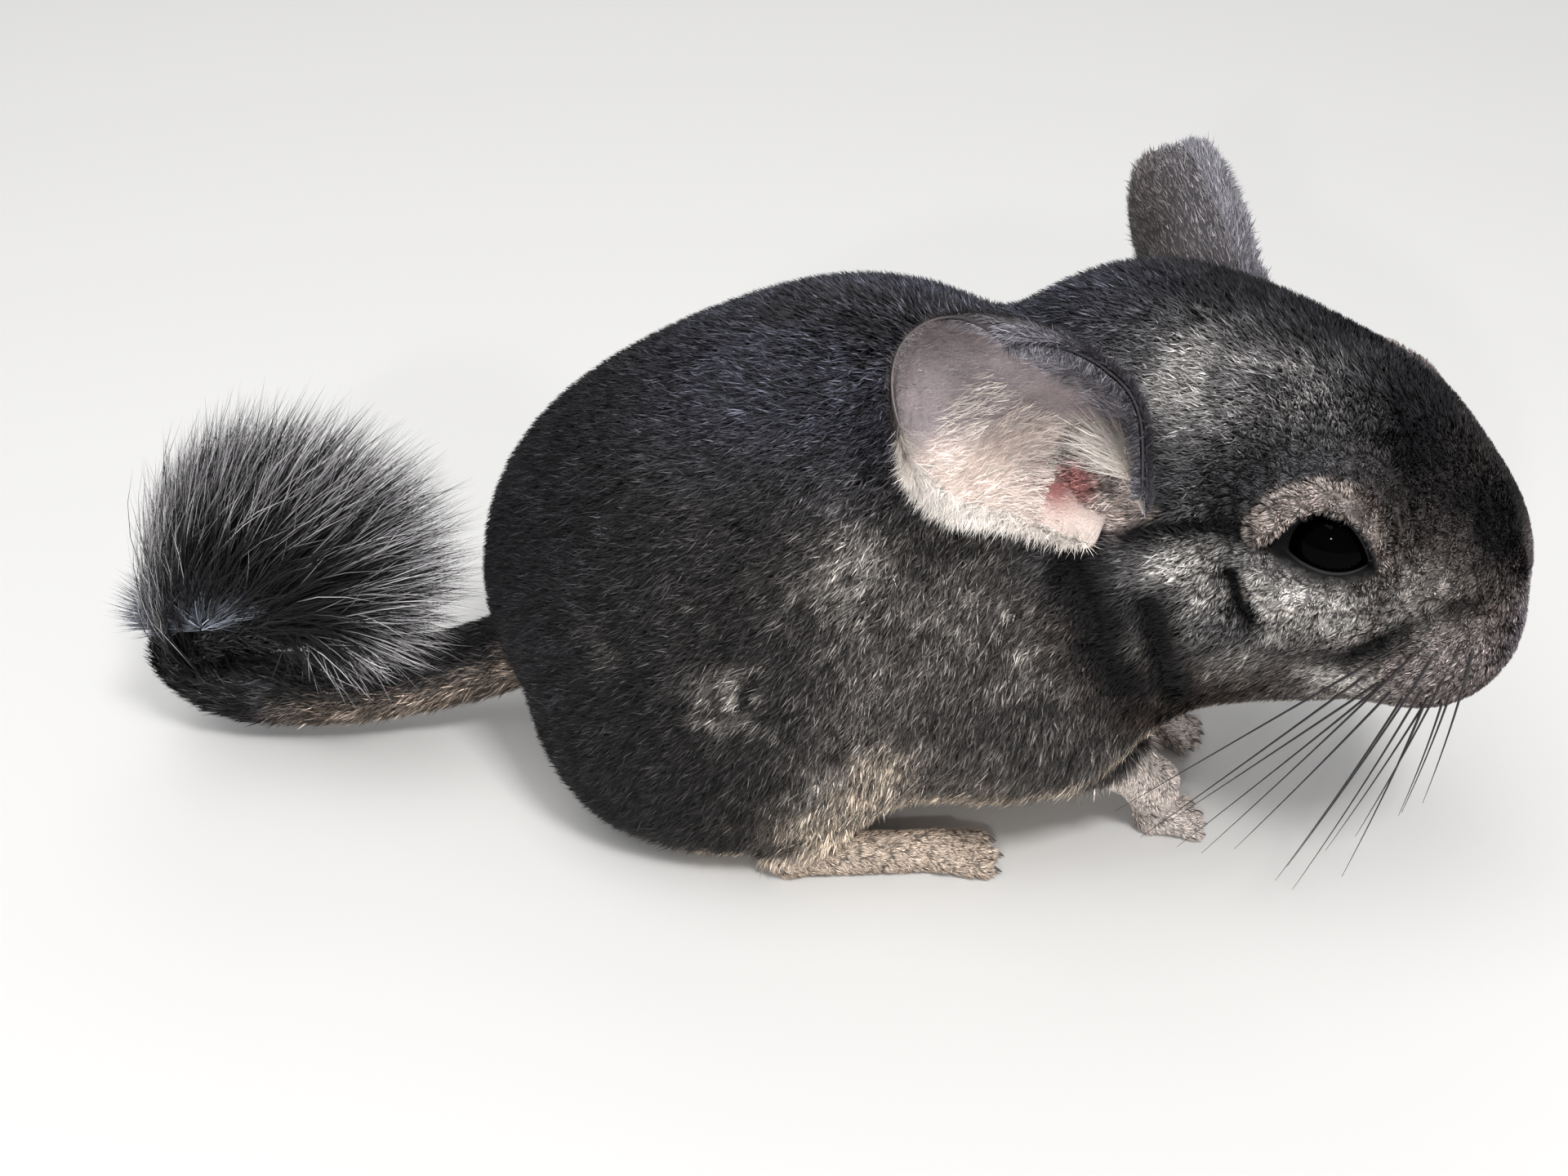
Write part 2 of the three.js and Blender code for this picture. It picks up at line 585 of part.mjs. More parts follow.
// The origin is the middle of the animal's footprint, on the floor
const box = new THREE.Box3().setFromObject(animal);
const middle = box.getCenter(new THREE.Vector3());
animal.position.set(-middle.x, -middle.y, 0);

export default animal;
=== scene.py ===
import bpy
import numpy as np
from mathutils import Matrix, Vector


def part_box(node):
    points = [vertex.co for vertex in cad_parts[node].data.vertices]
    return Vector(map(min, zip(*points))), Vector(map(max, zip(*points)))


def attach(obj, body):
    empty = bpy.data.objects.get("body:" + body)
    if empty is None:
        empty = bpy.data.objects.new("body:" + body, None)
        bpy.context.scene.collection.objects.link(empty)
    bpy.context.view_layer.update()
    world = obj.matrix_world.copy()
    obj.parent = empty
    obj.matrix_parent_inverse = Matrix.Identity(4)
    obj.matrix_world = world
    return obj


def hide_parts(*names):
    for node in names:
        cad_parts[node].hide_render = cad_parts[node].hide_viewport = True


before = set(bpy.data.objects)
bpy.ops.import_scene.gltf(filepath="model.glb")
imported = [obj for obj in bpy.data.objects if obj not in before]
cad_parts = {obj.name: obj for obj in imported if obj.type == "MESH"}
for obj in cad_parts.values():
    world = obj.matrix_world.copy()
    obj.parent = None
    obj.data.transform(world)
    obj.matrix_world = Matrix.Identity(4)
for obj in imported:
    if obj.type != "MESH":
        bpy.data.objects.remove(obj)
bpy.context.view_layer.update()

SEED = 11
rng = np.random.default_rng(SEED)

# Head, as in the model: its centre, its turn in degrees, and the places of its parts in its own frame
HEAD_CENTRE = np.array([64.0, -8.0, 66.0])
HEAD_YAW = -17
HEAD_PITCH = 15
HEAD_ROLL = 6
EYE_RADIUS = 7
EYE_PLACE = np.array([17.0, 14.8, 10.5])
EYE_AIM = np.array([0.42, 0.86, 0.26])
OPENING_HALF = 7.6
OPENING_TOP = 5.6
OPENING_BOTTOM = 2.3
OPENING_BACK = 3.6
LID_THICKNESS = 1.0
LID_RIM = 0.3

# Feet and forelegs, on the animal's left side
HEEL = [3, 30]
HIND_TOE = [34, 24]
HIND_FOOT_RADIUS = 3.4
HIND_TOES = 3
TOE_RADIUS = 1.9
TOE_LENGTH = 8
TOE_SPREAD = 3.6
ELBOW = [46, 16, 22]
WRIST = [59, 12, 9]
PAW_TOE = [67, 10.5]
FORELEG_RADIUS = 6
WRIST_RADIUS = 3.8
FINGERS = 4
FINGER_RADIUS = 1.5
FINGER_LENGTH = 5
FINGER_SPREAD = 2.5

# Tail and brush
TAIL_LINE = [
    [-40, 0, 19], [-60, -3, 12], [-80, -7, 9], [-95, -9, 10.5], [-101, -10, 17], [-96, -11, 23.5],
    [-86, -12, 27], [-75, -12, 31],
]
TAIL_ROOT_RADIUS = 6.5
TAIL_END_RADIUS = 5.5
WHORL = np.array([-94.0, -10.0, 25.0])
FAN_FROM = 112
FAN_TO = -10
FAN_LONGEST = 53
FAN_LONGEST_TURN = 40
FAN_BEHIND = 0.6
FAN_AHEAD = 0.42
FAN_HALF_DEPTH = 15

# Ears, as in the model
EAR_LENGTH = 40
EAR_WIDTH = 31
EAR_THICKNESS = 1.0
EAR_FOOT_ROLL = {"front": 165, "back": 125}
EAR_BLADE_ROLL = {"front": 85, "back": 45}
EAR_FOOT_WIDTH = 0.3
EAR_TIP_DROP = 0.16
EAR_WIDEST = 0.55
EAR_OPEN_BY = 0.5
EAR_TIP_FROM = 0.6
EAR_TIP_NARROWS = 0.8
CANAL_RADIUS = 2.4
EARS = {
    "right": {"side": -1, "foot": [-8.2, -26.6, 7], "axis": [-31, -12, 19.5], "face": [2, -30, 14],
              "canal": [-13, -24.8, 9], "recess": [-17.5, -24.8, 6.5]},
    "left": {"side": 1, "foot": [-4.5, 22.5, 4.5], "axis": [-22, 26, 4], "face": [30, 3, 11],
             "canal": [-6.6, 26.6, 5.8], "recess": [-8.5, 29, 6.5]},
}

# Camera
CAMERA_AZIMUTH = 8
CAMERA_ELEVATION = 36
CAMERA_TARGET = np.array([0.0, -14.0, 43.0])
CAMERA_DISTANCE = 325
CAMERA_LENS = 48.75
CAMERA_SENSOR = 36

# Lights: name, azimuth and elevation in degrees, distance and size in metres, and power in watts
LIGHTS = [
    ("key", 30, 58, 0.9, 0.16, 4.5),
    ("top", -40, 72, 1.0, 0.8, 5.5),
    ("fill", 190, 35, 1.2, 1.0, 2.0),
    ("catchlight", -3, 27, 0.7, 0.03, 0.9),
]
FLOOR_HALF = 1.08
FLOOR_COLOUR = (0.72, 0.71, 0.69, 1)
SKY_COLOUR = (0.93, 0.95, 1.0, 1)
SKY_STRENGTH = 0.42

# Skin: its grid's steps in millimetres, finer in the head, and how dark it is under the coat
GRID_STEP = 0.85
TRUNK_STEP = 1.0
FACE_STEP = 0.66
SKIN_SHADE = 0.7

# Hair
MOST_BLADES = 96000
SHORT_WIDEST = 0.5
BRUSH_HAIRS = 11000
BRUSH_STEPS = 5
WHORL_HAIRS = 3400
WHORL_STEPS = 3
EAR_HAIR_STEPS = 2
STRAND_BRIGHTEST = 5
CLUMP_SIZE = 2.0
WHISKER_ROWS = 3
WHISKERS_A_ROW = 5
WHISKER_RADIUS = 0.24

FLOOR_CLEARANCE = 0.15
UV_MAP = "OFBake"
TUFT_PATCH = 0.003
EAR_ROWS = 84
EAR_UV_WIDTH = 0.48
EAR_UV_HEIGHT = 0.98
EYE_RINGS = 48
EYE_SPOKES = 64


def rotation(yaw, pitch, roll=0):
    y, p, r = np.radians([yaw, pitch, roll])
    about_z = np.array([[np.cos(y), -np.sin(y), 0], [np.sin(y), np.cos(y), 0], [0, 0, 1]])
    about_y = np.array([[np.cos(p), 0, np.sin(p)], [0, 1, 0], [-np.sin(p), 0, np.cos(p)]])
    about_x = np.array([[1, 0, 0], [0, np.cos(r), -np.sin(r)], [0, np.sin(r), np.cos(r)]])
    return about_z @ about_y @ about_x


HEAD_TURN = rotation(HEAD_YAW, HEAD_PITCH, HEAD_ROLL)


def unit(v):
    v = np.asarray(v, float)
    return v / np.maximum(np.linalg.norm(v, axis=-1, keepdims=True), 1e-9)


def in_head(place):
    return np.asarray(place, float) @ HEAD_TURN.T + HEAD_CENTRE


def head_way(way):
    return unit(np.asarray(way, float) @ HEAD_TURN.T)


def head_local(points):
    return (points - HEAD_CENTRE) @ HEAD_TURN


def mirrored(place, side):
    return np.array([place[0], side * place[1], *place[2:]])


eye_low, eye_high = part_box("eye_right")
SHIFT = np.array((eye_low + eye_high) / 2) * 1000 - in_head(mirrored(EYE_PLACE, -1))


def metres(points):
    return (np.asarray(points, float) + SHIFT) / 1000


# Fields: each gives about the distance from points to a form's surface, negative inside
def smooth(value, start, end):
    t = np.clip((value - start) / (end - start), 0, 1)
    return t * t * (3 - 2 * t)


def ellipsoid(points, centre, radii, pitch=0):
    near = points - np.array(centre, float)
    if pitch:
        near = near @ rotation(0, pitch)
    near = near / np.array(radii, float)
    ratio = np.linalg.norm(near, axis=1)
    steep = np.linalg.norm(near / np.array(radii, float), axis=1)
    return ratio * (ratio - 1) / np.maximum(steep, 1e-6)


def rod(points, start, end, radius_start, radius_end):
    start = np.asarray(start, float)
    line = np.asarray(end, float) - start
    along = np.clip((points - start) @ line / (line @ line), 0, 1)
    away = np.linalg.norm(points - start - along[:, None] * line, axis=1)
    return away - (radius_start + (radius_end - radius_start) * along)


def line_distance(points, line):
    return np.min([rod(points, a, b, 0, 0) for a, b in zip(line, line[1:])], axis=0)


def blend(a, b, width):
    overlap = np.maximum(width - np.abs(a - b), 0) / width
    return np.minimum(a, b) - overlap * overlap * width / 4


def blended(fields, width):
    whole = fields[0]
    for field in fields[1:]:
        whole = blend(whole, field, width)
    return whole


def carve(field, tool, width):
    return -blend(-field, tool, width)


def head_field(local):
    parts = [
        ([-9, 0, 1], [29, 26, 26]),
        ([-8, 0, -12], [26, 27, 20]),
        ([14, 0, 4], [28, 22.5, 23]),
        ([31.4, 0, -0.5], [14.2, 13.6, 14.5]),
        ([34.4, 0, -9.8], [10.6, 12, 7.6]),
        ([0, 0, -20], [30, 19, 12]),
    ]
    return blended([ellipsoid(local, *part) for part in parts], 12)


def body_field(points, local):
    trunk = blended([
        ellipsoid(points, [-9, 0, 37], [41, 38, 37]),
        ellipsoid(points, [13, 0, 49], [35, 33, 37.5]),
        ellipsoid(points, [36, 0, 36], [32, 28, 26]),
    ], 20)
    limbs = [ellipsoid(points, [-6, side * 23, 24], [31, 16, 24], -20) for side in (-1, 1)]
    limbs += [ellipsoid(points, [32, side * 18, 34], [24, 15, 20], 20) for side in (-1, 1)]
    torso = blended([trunk, *limbs], 10)
    neck = rod(points, [34, 0, 46], in_head([-8, 0, -10]), 25, 21)
    return np.maximum(blended([torso, neck, head_field(local)], 13), 2 - points[:, 2])


def foot_field(points, heel, toe, ankle, radius, toes, toe_radius, toe_length, spread, ankle_radius):
    back = np.array([*heel, radius * 0.8])
    front = np.array([*toe, toe_radius * 0.7])
    ahead = unit((front - back) * [1, 1, 0])
    beside = np.array([-ahead[1], ahead[0], 0])
    knuckle = front - ahead * toe_length
    knuckle[2] = radius * 0.75
    parts = [rod(points, back, knuckle, radius, radius), rod(points, back, ankle, radius, ankle_radius)]
    for i in range(toes):
        place = i - (toes - 1) / 2
        start = knuckle + beside * place * spread * 0.6
        end = front + beside * place * spread - ahead * 0.8 * abs(place)
        parts.append(rod(points, start, end, toe_radius, toe_radius * 0.85))
    return blended(parts, 1.2)


def hind_foot_field(points, side):
    return foot_field(
        points, mirrored(HEEL, side), mirrored(HIND_TOE, side), [HEEL[0] + 4, side * (HEEL[1] - 3), 11],
        HIND_FOOT_RADIUS, HIND_TOES, TOE_RADIUS, TOE_LENGTH, TOE_SPREAD, 5,
    )


def forepaw_field(points, side):
    return foot_field(
        points, [WRIST[0] + 1, side * WRIST[1]], mirrored(PAW_TOE, side), mirrored(WRIST, side),
        WRIST_RADIUS * 0.8, FINGERS, FINGER_RADIUS, FINGER_LENGTH, FINGER_SPREAD, WRIST_RADIUS,
    )


def limb_fields(points):
    """The hind feet and the forelegs with their paws."""
    hind = np.minimum(hind_foot_field(points, -1), hind_foot_field(points, 1))
    arms = [
        blend(
            forepaw_field(points, side),
            rod(points, mirrored(ELBOW, side), mirrored(WRIST, side), FORELEG_RADIUS, WRIST_RADIUS), 3,
        )
        for side in (-1, 1)
    ]
    return np.minimum(hind, np.minimum(*arms))


def smooth_curve(line, count):
    """Evenly spaced points on a centripetal curve through a line's points."""
    knots = np.array(line, float)
    knots = np.concatenate([[2 * knots[0] - knots[1]], knots, [2 * knots[-1] - knots[-2]]])
    fine = []
    for a, b, c, d in zip(knots, knots[1:], knots[2:], knots[3:]):
        first, middle, last = [np.linalg.norm(q - p) ** 0.5 for p, q in ((a, b), (b, c), (c, d))]
        slope_b = ((b - a) / first - (c - a) / (first + middle) + (c - b) / middle) * middle
        slope_c = ((c - b) / middle - (d - b) / (middle + last) + (d - c) / last) * middle
        t = np.linspace(0, 1, 40, endpoint=False)[:, None]
        fine.append(
            (2 * t**3 - 3 * t**2 + 1) * b + (t**3 - 2 * t**2 + t) * slope_b
            + (3 * t**2 - 2 * t**3) * c + (t**3 - t**2) * slope_c
        )
    fine = np.concatenate([*fine, knots[-2:-1]])
    travelled = np.concatenate([[0], np.cumsum(np.linalg.norm(np.diff(fine, axis=0), axis=1))])
    wanted = np.linspace(0, travelled[-1], count)
    return np.stack([np.interp(wanted, travelled, fine[:, i]) for i in range(3)], 1)


TAIL_POINTS = smooth_curve(TAIL_LINE, 44)


def tail_field(points):
    """About the distance to the tail, and how far along it the nearest place is, from 0 to 1."""
    away = np.full(len(points), 60.0)
    along = np.zeros(len(points))
    near = points[:, 0] < -24
    if near.any():
        chosen = points[near]
        best = np.full(len(chosen), 1e9)
        where = np.zeros(len(chosen))
        last = len(TAIL_POINTS) - 1
        for i in range(last):
            start, line = TAIL_POINTS[i], TAIL_POINTS[i + 1] - TAIL_POINTS[i]
            t = np.clip((chosen - start) @ line / (line @ line), 0, 1)
            distance = np.linalg.norm(chosen - start - t[:, None] * line, axis=1)
            share = (i + t) / last
            radius = TAIL_ROOT_RADIUS + (TAIL_END_RADIUS - TAIL_ROOT_RADIUS) * share
            closer = distance - radius < best
            best = np.where(closer, distance - radius, best)
            where = np.where(closer, share, where)
        away[near], along[near] = best, where
    return away, along


def ear_axes(ear):
    along = head_way(ear["axis"])
    out = head_way(ear["face"])
    out = unit(out - along * (out @ along))
    return along, out, ear["side"] * np.cross(out, along)


def ear_half_width(u):
    swell = EAR_FOOT_WIDTH + (1 - EAR_FOOT_WIDTH) * np.sin(np.pi / 2 * np.clip(u / EAR_WIDEST, 0, 1))
    narrow = np.sqrt(1 - (EAR_TIP_NARROWS * np.maximum(u - EAR_TIP_FROM, 0) / (1 - EAR_TIP_FROM)) ** 2)
    return EAR_WIDTH / 2 * swell * narrow


def place_distance(points, place):
    """How far each point is from the nearer of the two ears' places of that name."""
    return np.min([np.linalg.norm(points - in_head(ear[place]), axis=1) for ear in EARS.values()], axis=0)


def ear_well(points):
    """How far inside the foot of a cup each point is, from 0 to 1."""
    inside = np.zeros(len(points))
    for ear in EARS.values():
        along, out, forward = ear_axes(ear)
        near = points - in_head(ear["foot"])
        u, across, depth = near @ along / EAR_LENGTH, near @ forward, near @ out
        half = ear_half_width(np.clip(u, 0, 1))
        within = smooth(half - np.abs(across), 0.0, 1.2) * smooth(u, -0.10, -0.02) * smooth(u, 0.8, 0.7)
        inside = np.maximum(inside, within * (depth > -1.25 * half - 1) * (depth < 26))
    return inside


# Creases of the face and neck in the head's frame, on its left side: how deep, how wide, and their line
# Besides being cut into the skin, the creases are painted dark in the coat's colours as shade.
CREASES = {
    "behind_eye": (1.8, 1.1, [[8.5, 22.9, 11.6], [2, 24.3, 10.1], [-3.6, 25.9, 7.1], [-8.1, 27.4, 3.8]]),
    "cheek": (1.8, 1.1, [[7.3, 25.1, 4.8], [9.7, 25.3, 0.8], [12.5, 24.3, -3.3]]),
    "above_pad": (
        1.7, 1.2,
        [[23, 21.5, -12], [26.5, 20.0, -6.5], [30.5, 19.4, 1.2], [34.2, 17.3, 6.6], [39, 12.7, 8.6]],
    ),
    "brow": (0.8, 0.8, [[17.2, 17.2, 19.6], [20.2, 17.6, 17.6], [22.3, 18.5, 14.6]]),
    "neck_front": (3.2, 2.2, [[-0.4, 28.9, -6.3], [4.6, 27.2, -16.9], [8.3, 23.9, -25.2]]),
    "neck_back": (
        4.4, 2.8,
        [[-12.5, 30.5, -3], [-10.9, 30.7, -6.6], [-5.9, 30.5, -12], [-4, 31.3, -17.2], [2.1, 28.6, -25]],
    ),
}
LID_RIDGE = [
    [8.4, 22.6, 12.6], [9.8, 20.8, 16.2], [13.2, 18.9, 19.0], [17.6, 17.6, 18.8], [21.4, 17.8, 15.6],
    [22.4, 18.6, 13],
]
LID_RIDGE_RADIUS = 1.6
FAR_RIDGE_DROP = np.array([0, -0.4, 2.4])
LOWER_LID = [[8.6, 23.4, 8.4], [12.5, 23.6, 5.4], [17.5, 22.8, 5.0], [21.6, 20.8, 7.6]]
LOWER_LID_RADIUS = 1.2
PAD_CENTRE = [34.5, 8.4, -3.8]
PAD_RADII = [9.6, 8, 8]
LIPS = [[41, 0, -14.8], [38, 5, -17], [32, 10, -17.2], [26, 14, -15.8]]
UPPER_LIP = [[46.4, 0, -3], [45, 0, -8.5], [41.5, 0, -14.5]]
BRIDGE_SLIMMER = 1.6
HEAD_BOUND = ([14, 0, -3], [44, 38, 37])
FACE_FROM = -16
NOSTRIL = [[46.4, 2.0, 0.4], [45.0, 3.9, 2.2], [43.8, 4.6, 1.6]]


def brought_out(folded, depth):
    """Points of the skin moved out to the coat's outer surface."""
    around = np.maximum(np.hypot(folded[:, 1], folded[:, 2]), 1)
    return folded * np.stack([np.ones(len(folded)), 1 + depth / around, 1 + depth / around], 1)


def crease_share(folded, depth, spread):
    """How much each point lies in one of the creases."""
    outer = brought_out(folded, depth)
    return np.max([
        np.exp(-((line_distance(outer, line) / (spread * width)) ** 2)) for _, width, line in CREASES.values()
    ], axis=0)


def left_side(local):
    """Points folded over to the left side, so that one description serves both sides."""
    return local * [1, 0, 1] + np.abs(local) * [0, 1, 0]


def from_eye(local):
    """How far each point is from the centre of the nearer eye."""
    return np.linalg.norm(left_side(local) - EYE_PLACE, axis=1)


def from_ridge(local):
    """How far each point is from the upper lid's ridge, which lies lower over the far eye."""
    left = (local[:, 1] > 0)[:, None]
    return line_distance(left_side(local) + left * FAR_RIDGE_DROP, LID_RIDGE)


def eye_frame():
    aim = unit(EYE_AIM)
    ahead = unit(np.array([EYE_AIM[1], -EYE_AIM[0], 0]))
    return ahead, np.cross(ahead, aim), aim


EYE_AHEAD, EYE_UP, EYE_OUT = eye_frame()


def opening_field(folded):
    """The almond between the lids, as a prism that runs out along the eye's aim."""
    near = folded - EYE_PLACE
    across, height, out = near @ EYE_AHEAD + OPENING_BACK, near @ EYE_UP, near @ EYE_OUT
    arch = 1 - np.abs(across / OPENING_HALF) ** 2.4
    return np.maximum(np.maximum(height - OPENING_TOP * arch, -height - OPENING_BOTTOM * arch), 2.5 - out)


def coat_depth(points, local):
    """How far the skin lies inside the coat's outer surface."""
    on_head = smooth(ellipsoid(local, *HEAD_BOUND), 7, -7)
    head_depth = 2.6 - 1.9 * smooth(local[:, 0], 2, 38)
    head_depth = np.minimum(head_depth, 0.9 + 1.7 * smooth(from_eye(local), 9, 20))
    body_depth = 3.4 - 1.4 * smooth(points[:, 2], 16, 4)
    return body_depth + (head_depth - body_depth) * on_head


def face_details(field, local, coat):
    folded = left_side(local)
    outer = brought_out(folded, coat)
    field = field + BRIDGE_SLIMMER * smooth(local[:, 0], 16, 34) * smooth(local[:, 2], -6, 6)
    field = blend(field, ellipsoid(folded, PAD_CENTRE, PAD_RADII) + 0.7, 4)
    for depth, width, line in CREASES.values():
        field = field + depth * np.exp(-((line_distance(outer, line) / width) ** 2))
    field = blend(field, from_eye(local) - EYE_RADIUS - LID_THICKNESS, 2.5)
    field = blend(field, from_ridge(local) - LID_RIDGE_RADIUS, 2.5)
    field = blend(field, line_distance(folded, LOWER_LID) - LOWER_LID_RADIUS, 2.5)
    field = carve(field, opening_field(folded), 0.6)
    field = carve(field, line_distance(folded, LIPS) - 0.8, 0.8)
    field = carve(field, line_distance(folded, UPPER_LIP) - 0.55, 0.8)
    return carve(field, line_distance(folded, NOSTRIL) - 0.8, 0.8)


def skin_field(points):
    local = head_local(points)
    coat = coat_depth(points, local)
    field = body_field(points, local) + coat
    face = (local[:, 0] > FACE_FROM) & (np.abs(local[:, 1]) < 40) & (np.abs(local[:, 2]) < 34)
    field[face] = face_details(field[face], local[face], coat[face])
    field = carve(field, place_distance(points, "canal") - CANAL_RADIUS, 1.0)
    field = carve(field, place_distance(points, "recess") - CANAL_RADIUS, 2.0)
    low = points[:, 2] < 30
    field[low] = blend(field[low], limb_fields(points[low]) + 0.5, 2.5)
    field = blend(field, tail_field(points)[0] + 1.3, 7)
    return np.maximum(field, 0.15 - points[:, 2])


# Surface of a field on a grid whose lines may be unevenly spaced
def sampled(field, axes, block=6, reach=8.0):
    """The field on the grid: exact near the surface, and one value a block elsewhere."""
    counts = [len(axis) for axis in axes]
    middles = [axis[np.minimum(np.arange(0, len(axis), block) + block // 2, len(axis) - 1)] for axis in axes]
    coarse = np.stack(np.meshgrid(*middles, indexing="ij"), -1)
    rough = field(coarse.reshape(-1, 3)).reshape(coarse.shape[:3])
    for axis in range(3):
        rough = np.repeat(rough, block, axis=axis)
    values = rough[:counts[0], :counts[1], :counts[2]].copy()
    near = np.argwhere(np.abs(values) < reach)
    for some in np.array_split(near, max(1, len(near) // 300000)):
        places = np.stack([axes[i][some[:, i]] for i in range(3)], 1)
        values[tuple(some.T)] = field(places)
    return values


def surface_net(field, axes):
    values = sampled(field, axes)
    inside = values < 0
    cells = np.array(values.shape) - 1
    corners = [(i, j, k) for i in (0, 1) for j in (0, 1) for k in (0, 1)]

    def at(array, corner):
        return array[tuple(slice(c, c + m) for c, m in zip(corner, cells))]

    count = sum(at(inside, corner).astype(np.int8) for corner in corners)
    active = (count > 0) & (count < 8)
    index = np.full(tuple(cells), -1)
    places = np.argwhere(active)
    index[active] = np.arange(len(places))
    total = np.zeros((len(places), 3))
    weight = np.zeros(len(places))
    for corner in corners:
        for axis in range(3):
            if corner[axis]:
                continue
            end = np.array(corner) + np.eye(3, dtype=int)[axis]
            first = values[tuple((places + corner).T)]
            second = values[tuple((places + end).T)]
            crosses = (first < 0) != (second < 0)
            share = np.where(crosses, first / np.where(crosses, first - second, 1), 0)
            spot = np.array(corner) + share[:, None] * np.eye(3)[axis]
            total += np.where(crosses[:, None], spot, 0)
            weight += crosses
    within = total / weight[:, None]
    steps = [np.diff(axis) for axis in axes]
    points = np.stack(
        [axes[i][places[:, i]] + within[:, i] * steps[i][places[:, i]] for i in range(3)], 1)
    quads = []
    for axis in range(3):
        after, last = (axis + 1) % 3, (axis + 2) % 3
        low = tuple(slice(0, -1) if i == axis else slice(None) for i in range(3))
        high = tuple(slice(1, None) if i == axis else slice(None) for i in range(3))
        edges = np.argwhere(inside[low] != inside[high])
        whole = (edges[:, after] > 0) & (edges[:, last] > 0)
        whole &= (edges[:, after] < cells[after]) & (edges[:, last] < cells[last])
        edges = edges[whole]
        outward = inside[tuple(edges.T)]

        def cell(back_after, back_last):
            place = edges.copy()
            place[:, after] -= back_after
            place[:, last] -= back_last
            return index[tuple(place.T)]

        quad = np.stack([cell(1, 1), cell(0, 1), cell(0, 0), cell(1, 0)], 1)
        quad[~outward] = quad[~outward][:, ::-1]
        quads.append(quad)
    return points, np.concatenate(quads)


def settled(field, points, quads, rounds=2):
    """Evens the mesh out and brings it back to the field's surface."""
    for _ in range(rounds):
        total = np.zeros_like(points)
        count = np.zeros(len(points))
        for shift in (1, 3):
            other = np.roll(quads, shift, axis=1)
            np.add.at(total, quads.ravel(), points[other.ravel()])
            np.add.at(count, quads.ravel(), 1)
        points = points + 0.5 * (total / count[:, None] - points)
        step = 0.05
        value = field(points)
        slope = np.stack([(field(points + step * np.eye(3)[i]) - value) / step for i in range(3)], 1)
        square = np.maximum(np.sum(slope * slope, axis=1), 0.25)
        points = points - np.clip(value / square, -0.8, 0.8)[:, None] * slope
    return points


def vertex_normals(points, quads):
    normals = np.zeros_like(points)
    cross = np.cross(points[quads[:, 2]] - points[quads[:, 0]], points[quads[:, 3]] - points[quads[:, 1]])
    for corner in range(quads.shape[1]):
        np.add.at(normals, quads[:, corner], cross)
    return unit(normals)


# Noise on points
def hashed(cells, seed):
    """Three even random numbers from 0 to 1 for each whole-number cell."""
    keys = np.array([[12.9898, 78.233, 37.719], [39.346, 11.135, 83.155], [73.156, 52.235, 9.151]])
    value = np.sin(cells @ keys.T + seed) * 43758.5453
    return value - np.floor(value)


def noise(points, size, seed):
    """Smooth noise from -1 to 1."""
    place = points / size
    base = np.floor(place)
    share = place - base
    share = share * share * (3 - 2 * share)
    total = np.zeros(len(points))
    for corner in np.ndindex(2, 2, 2):
        weight = np.prod(np.where(corner, share, 1 - share), axis=1)
        total += weight * hashed(base + corner, seed)[:, 0]
    return 2 * total - 1


def clump_centres(points, size, seed):
    """The nearest of the scattered centres, about a size apart."""
    base = np.floor(points / size)
    best = np.full(len(points), np.inf)
    nearest = np.zeros_like(points)
    for offset in np.ndindex(3, 3, 3):
        cell = base + np.array(offset) - 1
        centre = (cell + hashed(cell, seed)) * size
        away = np.sum((points - centre) ** 2, axis=1)
        closer = away < best
        best = np.where(closer, away, best)
        nearest[closer] = centre[closer]
    return nearest


# Meshes
def mesh_piece(name, points, faces, material, smooth_faces=True):
    """A mesh object of faces that all have as many corners."""
    mesh = bpy.data.meshes.new(name)
    count, corners = faces.shape
    mesh.vertices.add(len(points))
    mesh.vertices.foreach_set("co", metres(points).astype(np.float32).ravel())
    mesh.loops.add(count * corners)
    mesh.loops.foreach_set("vertex_index", faces.astype(np.int32).ravel())
    mesh.polygons.add(count)
    mesh.polygons.foreach_set("loop_start", np.arange(0, count * corners, corners, dtype=np.int32))
    mesh.polygons.foreach_set("use_smooth", np.full(count, smooth_faces))
    mesh.update(calc_edges=True)
    mesh.materials.append(material)
    piece = bpy.data.objects.new(name, mesh)
    bpy.context.scene.collection.objects.link(piece)
    return piece


def set_values(piece, name, values):
    values = np.asarray(values, np.float32)
    kind = "FLOAT" if values.ndim == 1 else "FLOAT_COLOR" if values.shape[1] == 4 else "FLOAT_VECTOR"
    attribute = piece.data.attributes.new(name, kind, "POINT")
    field = {"FLOAT": "value", "FLOAT_COLOR": "color", "FLOAT_VECTOR": "vector"}[kind]
    attribute.data.foreach_set(field, values.ravel())


def set_uv(piece, uv):
    layer = piece.data.uv_layers.new(name=UV_MAP)
    layer.uv.foreach_set("vector", np.asarray(uv, np.float32).ravel())


def finished(piece, slot_name, *nodes):
    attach(piece, "root")
    if nodes:
        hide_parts(*nodes)
    return piece


def with_alpha(colour):
    return np.concatenate([colour, np.ones((len(colour), 1))], axis=1)


# Materials
def new_material(name, roughness, specular=0.5):
    material = bpy.data.materials.new(name)
    material.use_nodes = True
    nodes = material.node_tree.nodes
    shader = nodes["Principled BSDF"]
    shader.inputs["Roughness"].default_value = roughness
    shader.inputs["Specular IOR Level"].default_value = specular
    return material, nodes, material.node_tree.links, shader


def add_node(nodes, kind, **settings):
    node = nodes.new(kind)
    for name, value in settings.items():
        setattr(node, name, value)
    return node


def attribute_node(nodes, name):
    return add_node(nodes, "ShaderNodeAttribute", attribute_name=name)


